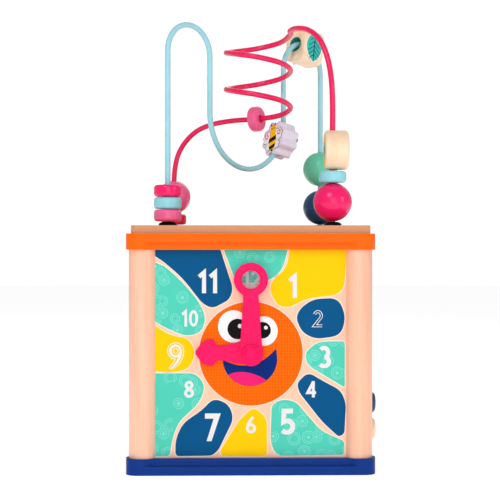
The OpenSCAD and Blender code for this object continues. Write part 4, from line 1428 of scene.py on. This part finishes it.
# Flowers printed on the sides: across, up, radius, number of petals, colour, colour of the middle
TRACK_FLOWERS = [(-94, 214, 14, 6, "yellow", "white"), (-92, 112, 16, 8, "hot_pink", "yellow"),
                 (-35, 205, 13, 5, "mint", "white"), (-34, 98, 14, 7, "navy", "sky"),
                 (31, 212, 19, 8, "orange", "white"),
                 (30, 120, 16, 6, "sky", "hot_pink"), (98, 160, 11, 6, "navy", "yellow"),
                 (94, 48, 14, 7, "mint", "white")]
TRACK_LEAVES = [(-94, 165, 52, 24, 80), (-34, 152, 56, 22, 96), (31, 166, 46, 20, 84), (98, 216, 50, 18, 100),
                (98, 104, 56, 18, 84), (-96, 58, 44, 20, 100)]
GEAR_FLOWERS = [(66, 214, 26, 8, "hot_pink", "yellow"), (-88, 66, 22, 7, "yellow", "white"),
                (88, 132, 15, 6, "sky", "white"), (-22, 52, 16, 6, "orange", "white"),
                (14, 236, 14, 5, "mint", "navy")]
GEAR_LEAVES = [(92, 176, 46, 22, 70), (-60, 100, 44, 20, 30), (98, 84, 50, 20, 96), (-96, 108, 36, 16, 84),
               (32, 226, 34, 14, 20)]
# Paints of the tiles, the heights of their two rows, the windows' size and the knobs' size in mm
TILE_TINTS = {"tile_1": "yellow", "tile_2": "mint", "tile_3": "orange", "tile_4": "navy", "tile_5": "yellow",
              "tile_6": "mint"}
TILE_ROWS = (190.0, 100.0)
TILE_WINDOW = (156, 60)
KNOB_RADIUS = 13.0
KNOB_LENGTH = 20.6


def add_ring(bm, outer, inner, low, high, where):
    """Flat ring between two outlines of as many points each."""
    rings = [[bm.verts.new(where @ Vector((x, y, z))) for x, y in points]
             for points, z in ((outer, low), (outer, high), (inner, high), (inner, low))]
    for first, second in zip(rings, rings[1:] + rings[:1]):
        for i in range(len(outer)):
            k = (i + 1) % len(outer)
            bm.faces.new((first[i], first[k], second[k], second[i]))


def printed_rings(name, pairs, side, level, material):
    layer = bpy.context.scene.cube_clock.ink
    bm = bmesh.new()
    for outer, inner in pairs:
        add_ring(bm, in_mm(outer), in_mm(inner), 0.2 * layer, layer * level, on_panel(side))
    return place(new_piece(name, bm, 60), material, body="root")


def paint_ink(tint):
    return ink(tint.replace("_", " ").capitalize() + " ink", hue(tint))


def garden(prefix, flowers, leaves, side):
    """Flowers and veined leaves printed on a side panel, one piece for each colour."""
    for tint in dict.fromkeys(flower[4] for flower in flowers):
        heads = [petals(f[:2], f[2], f[2] * 0.34, f[3], 15) for f in flowers if f[4] == tint]
        printed(f"{prefix}_{tint}_flowers", heads, side, 2, paint_ink(tint))
    for tint in dict.fromkeys(flower[5] for flower in flowers):
        middles = [ellipse(f[:2], f[2] * 0.72, f[2] * 0.72) for f in flowers if f[5] == tint]
        printed(f"{prefix}_{tint}_middles", middles, side, 3, paint_ink(tint))
    lines = [swell(petals(f[:2], f[2], f[2] * 0.34, f[3], 15), 1.0) for f in flowers]
    blades = [leaf_outline(leaf[:2], *leaf[2:]) for leaf in leaves]
    lines += [swell(blade, 1.0) for blade in blades]
    printed(f"{prefix}_outlines", lines, side, 1, ink("Petal outline", hue("outline")))
    leafy = ink("Mint ink", hue("mint"), hue("mint_doodle"), doodle_group(), 0.75, Density=56.0)
    printed(f"{prefix}_leaves", blades, side, 2, leafy)
    ribs = []
    for x, z, span, _, tilt in leaves:
        c, s = math.cos(math.radians(tilt)), math.sin(math.radians(tilt))
        ribs.append(stadium((x - c * span * 0.44, z - s * span * 0.44),
                            (x + c * span * 0.44, z + s * span * 0.44), 0.6, 5))
    printed(f"{prefix}_ribs", ribs, side, 3, paint_ink("navy"))


def facing_out(side, spot):
    """Matrix from (across, up, out) on one side to the cube's frame, its origin at a spot."""
    matrix = on_panel(side)
    matrix.translation = spot
    return matrix


class CUBE_OT_track_side(bpy.types.Operator):
    """Print the right-hand panel and build its four sliding knobs"""
    bl_idname = "cube.track_side"
    bl_label = "Track side"

    def execute(self, context):
        width = context.scene.cube_toys.track_line / MM
        garden("track", TRACK_FLOWERS, TRACK_LEAVES, RIGHT)
        for name, x, z, dx, dz, tint in TRACKS:
            end = (x + dx, z + dz)
            lane = (stadium((x, z), end, SLOT_RADIUS + width), stadium((x, z), end, SLOT_RADIUS + 0.8))
            rim = (stadium((x, z), end, SLOT_RADIUS + width + 1.1), stadium((x, z), end, SLOT_RADIUS + 0.5))
            printed_rings(f"{name}_lane_rim", [rim], RIGHT, 1, paint_ink("white"))
            printed_rings(f"{name}_lane", [lane], RIGHT, 2, paint_ink(tint))
        paints = {"navy": toy_paint("deep_navy"), "wood": bead_wood(), "yellow": toy_paint("yellow"),
                  "mint": toy_paint("mint")}
        section = [(0.0, -9.0), (3.6, -9.0), (4.0, -8.6), (4.0, 0.3), (7.4, 0.3), (8.0, 0.9), (8.3, 4.5),
                   (8.8, 6.6)]
        section += arc((KNOB_RADIUS - 4.2, 10.6), 4.2, -62, 0, 8)
        section += arc((KNOB_RADIUS - 5.4, 14.9), 5.4, 0, 82, 10)
        section += [(5.6, 20.1), (4.8, 19.7), (4.0, 20.1), (0.0, KNOB_LENGTH)]
        for name, material in paints.items():
            low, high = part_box("knob_" + name)
            spot = Vector((high.x - KNOB_LENGTH * MM, (low.y + high.y) / 2, (low.z + high.z) / 2))
            knob = lathe(f"knob_{name}_turned", in_mm(section), facing_out(RIGHT, spot), 72, smooth_angle=40)
            place(knob, material, "knob_" + name)
            keeper = softened(f"keeper_{name}_disc", "keeper_" + name, 0.5 * MM, 2)
            place(keeper, moulded_plastic("White plastic", hue("white")), "keeper_" + name)
        return {"FINISHED"}


class CUBE_OT_gear_side(bpy.types.Operator):
    """Print the rear panel and build its three gears on their pins"""
    bl_idname = "cube.gear_side"
    bl_label = "Gear side"

    def execute(self, context):
        garden("gear", GEAR_FLOWERS, GEAR_LEAVES, REAR)
        edge = context.scene.cube_toys.gear_edge
        looks = {"gear_large": ("orange_plastic", "yellow", 9), "gear_small": ("yellow", "hot_pink", 6),
                 "gear_middle": ("mint", "navy", 7)}
        for node, (tint, mark, count) in looks.items():
            gear = softened(node + "_moulding", node, edge, 2)
            place(gear, moulded_plastic(tint.replace("_", " ").capitalize() + " gear plastic", hue(tint),
                                        0.32), node)
            low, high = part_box(node)
            centre = (low + high) / 2
            face = facing_out(REAR, Vector((centre.x, high.y, centre.z)))
            root = (high.x - low.x) / 2 / MM - 13
            ring = bmesh.new()
            layer = context.scene.cube_clock.ink
            add_ring(ring, in_mm(ellipse((0, 0), 2 * root, 2 * root)),
                     in_mm(ellipse((0, 0), 2 * root - 3, 2 * root - 3)),
                     -0.5 * layer, layer, face)
            place(new_piece(node + "_ring", ring, 60), paint_ink("white"), body=node)
            petal = bmesh.new()
            for i in range(count):
                turn = 360 * i / count
                reach = (root + 9) / 2
                spot = (reach * math.cos(math.radians(turn)), reach * math.sin(math.radians(turn)))
                add_slab(petal, in_mm(leaf_outline(spot, root - 12, (root - 10) * 0.42, turn)), -0.5 * layer,
                         layer, face)
            place(new_piece(node + "_petals", petal, 60), paint_ink(mark), body=node)
        pins = softened("gear_pins", "gear_axles", 0.9 * MM, 3)
        place(pins, moulded_plastic("Navy plastic", hue("navy_plastic"), 0.36), "gear_axles")
        return {"FINISHED"}


class CUBE_OT_tile_side(bpy.types.Operator):
    """Print the left-hand panel and build its six turning tiles on their rods"""
    bl_idname = "cube.tile_side"
    bl_label = "Tile side"

    def execute(self, context):
        wide, tall = TILE_WINDOW
        for number, z in enumerate(TILE_ROWS):
            inner, middle, outer = (box_outline(wide + more, tall + more, bend, (0, z))
                                    for more, bend in ((1.6, 0.9), (9, 6), (15, 9)))
            printed_rings(f"window_{number}_line", [(outer, middle)], LEFT, 2, paint_ink("white"))
            printed_rings(f"window_{number}_band", [(middle, inner)], LEFT, 2,
                          paint_ink(("hot_pink", "navy")[number]))
        corners = [(x, z, 12, 6, tint, "white") for x, z, tint in (
            (-94, 244, "yellow"), (-56, 246, "mint"), (-18, 245, "orange"), (20, 245, "navy"),
            (58, 246, "hot_pink"),
            (95, 244, "mint"), (-94, 40, "orange"), (-56, 38, "navy"), (-18, 39, "yellow"),
            (20, 39, "hot_pink"),
            (58, 38, "mint"), (95, 40, "yellow"), (-99, 190, "sky"), (99, 190, "sky"), (-99, 100, "mint"),
            (99, 100, "orange"))]
        garden("tile", corners, [(-99, 145, 40, 16, 90), (99, 145, 40, 16, 90), (0, 145, 60, 9, 0)], LEFT)
        for node in TILE_TINTS:
            self.tile(context, node)
        repaint(plated_steel(), "tile_rods")
        return {"FINISHED"}

    def tile(self, context, node):
        number = int(node[-1])
        tint = TILE_TINTS[node]
        tile = softened(node + "_block", node, context.scene.cube_toys.tile_edge, 3)
        place(tile, toy_paint(tint), node)
        centre = centre_of(node)
        reach = Vector((6 * MM, 0, 0))
        front = facing_out(LEFT, centre - reach)
        # Upside down at rest, so that the number is upright when the tile has turned over
        back = facing_out(RIGHT, centre + reach) @ Matrix.Rotation(math.radians(180), 4, "Z")
        white, black = paint_ink("white"), paint_ink("black")
        pictures = {1: ("hot_pink", star((0, -1), 19, 5, 0.5)), 2: ("yellow", ellipse((0, 0), 32, 32)),
                    3: ("white", petals((0, 0), 18, 6, 6)), 4: ("sky", leaf_outline((0, 0), 42, 24, 60)),
                    5: ("hot_pink", petals((0, 0), 18, 5, 8)),
                    6: ("orange", rounded([(-15, -15), (15, -15), (0, 19)], 7))}
        mark, shape = pictures[number]
        stuck_on(node + "_picture_line", [swell(shape, 1.4)], front, 1, white, node)
        stuck_on(node + "_picture", [shape], front, 2, paint_ink(mark), node)
        stuck_on(node + "_eyes", [ellipse((x, 2), 3, 4) for x in (-5, 5)], front, 3, black, node)
        jaw = arc((0, -1), 6, -160, -20, 12) + arc((0, 1.2), 6.6, -28, -152, 12)
        stuck_on(node + "_smile", [jaw], front, 3, black, node)
        digit = bmesh.new()
        layer = context.scene.cube_clock.ink
        add_number(digit, str(number), (0, 0), 30 * MM, -0.3 * layer, layer, back)
        place(new_piece(node + "_digit", digit, 60, merge=False), white, body=node)


# ---- stage ----

# Brightness of the surroundings: as light, and as the backdrop that the camera sees
WORLD_LIGHT = 0.42
WORLD_SEEN = 1.05
FLOOR_GLOW = 0.58
# Lights: name, place in m, side in m, power in W
LIGHTS = [("key", (-0.8, -1.8, 1.9), 0.9, 15.0), ("side", (1.9, -1.3, 0.9), 0.7, 6.0),
          ("front", (0.2, -3.2, 0.7), 1.8, 16.0), ("back", (0.6, 2.2, 1.8), 1.6, 8.0)]
LIGHTS_AIM = (0, 0, 0.28)
CAMERA_PLACE = (-0.032, -1.66, 0.2627)
CAMERA_YAW = -1.164
CAMERA_LENS = 93.6


class CUBE_OT_stage(bpy.types.Operator):
    """Lay the pale floor and set the soft studio lights and the camera"""
    bl_idname = "cube.stage"
    bl_label = "Stage"

    def execute(self, context):
        scene = context.scene
        scene.view_settings.view_transform = "Standard"
        world = bpy.data.worlds.new("Studio")
        world.use_nodes = True
        tree = world.node_tree
        sky = tree.nodes["Background"]
        ray = fed_node(tree, "ShaderNodeLightPath")
        seen = fed_node(tree, "ShaderNodeMapRange", To_Min=WORLD_LIGHT, To_Max=WORLD_SEEN,
                        Value=ray.outputs["Is Camera Ray"])
        feed(tree, sky, Color=(1.0, 1.0, 1.0, 1.0), Strength=seen.outputs["Result"])
        scene.world = world
        bm = bmesh.new()
        add_slab(bm, ellipse((0, 0), 16, 16, steps=96), -0.004, 0.0)
        floor = new_piece("floor", bm)
        pale = Recipe("Pale floor", 0.7, specular=0.2)
        skin = pale.group(skin_group(), Ripple_Density=90.0)
        pale.colour(pale.mix(skin.outputs["Unevenness"], (0.93, 0.93, 0.93), (0.91, 0.91, 0.91)))
        feed(pale.tree, pale.shader, Emission_Color=(1.0, 1.0, 1.0, 1.0), Emission_Strength=FLOOR_GLOW)
        floor.data.materials.append(pale.material)
        for name, spot, size, power in LIGHTS:
            lamp = bpy.data.lights.new(name, "AREA")
            lamp.shape = "SQUARE"
            lamp.size = size
            lamp.energy = power
            holder = bpy.data.objects.new(name, lamp)
            holder.location = spot
            aim = Vector(LIGHTS_AIM) - Vector(spot)
            holder.rotation_euler = aim.to_track_quat("-Z", "Y").to_euler()
            scene.collection.objects.link(holder)
        camera = bpy.data.objects.new("camera", bpy.data.cameras.new("camera"))
        camera.data.lens = CAMERA_LENS
        camera.location = CAMERA_PLACE
        camera.rotation_euler = (math.radians(90), 0, math.radians(CAMERA_YAW))
        scene.collection.objects.link(camera)
        scene.camera = camera
        return {"FINISHED"}


# ---- add-on ----

PIECES = [CUBE_OT_stage, CUBE_OT_box, CUBE_OT_clock_print, CUBE_OT_clock_hands, CUBE_OT_wires,
          CUBE_OT_fixings,
          CUBE_OT_plain_beads, CUBE_OT_picture_beads, CUBE_OT_track_side, CUBE_OT_gear_side,
          CUBE_OT_tile_side]


class CUBE_PT_sidebar(bpy.types.Panel):
    """Lists the settings and pieces of the activity cube"""
    bl_idname = "CUBE_PT_sidebar"
    bl_label = "Activity Cube"
    bl_space_type = "VIEW_3D"
    bl_region_type = "UI"
    bl_category = "Activity Cube"

    def draw(self, context):
        for name, kind in SETTINGS.items():
            section = self.layout.box()
            section.label(text=kind.__doc__)
            for setting in kind.__annotations__:
                section.prop(getattr(context.scene, name), setting)
        for piece in PIECES:
            self.layout.operator(piece.bl_idname)


def register():
    for kind in [*SETTINGS.values(), *PIECES, CUBE_PT_sidebar]:
        bpy.utils.register_class(kind)
    for name, kind in SETTINGS.items():
        setattr(bpy.types.Scene, name, PointerProperty(type=kind))


def unregister():
    for name in SETTINGS:
        delattr(bpy.types.Scene, name)
    for kind in reversed([*SETTINGS.values(), *PIECES, CUBE_PT_sidebar]):
        bpy.utils.unregister_class(kind)


def main():
    register()
    for piece in PIECES:
        family, name = piece.bl_idname.split(".")
        getattr(getattr(bpy.ops, family), name)()


if __name__ == "__main__":
    main()
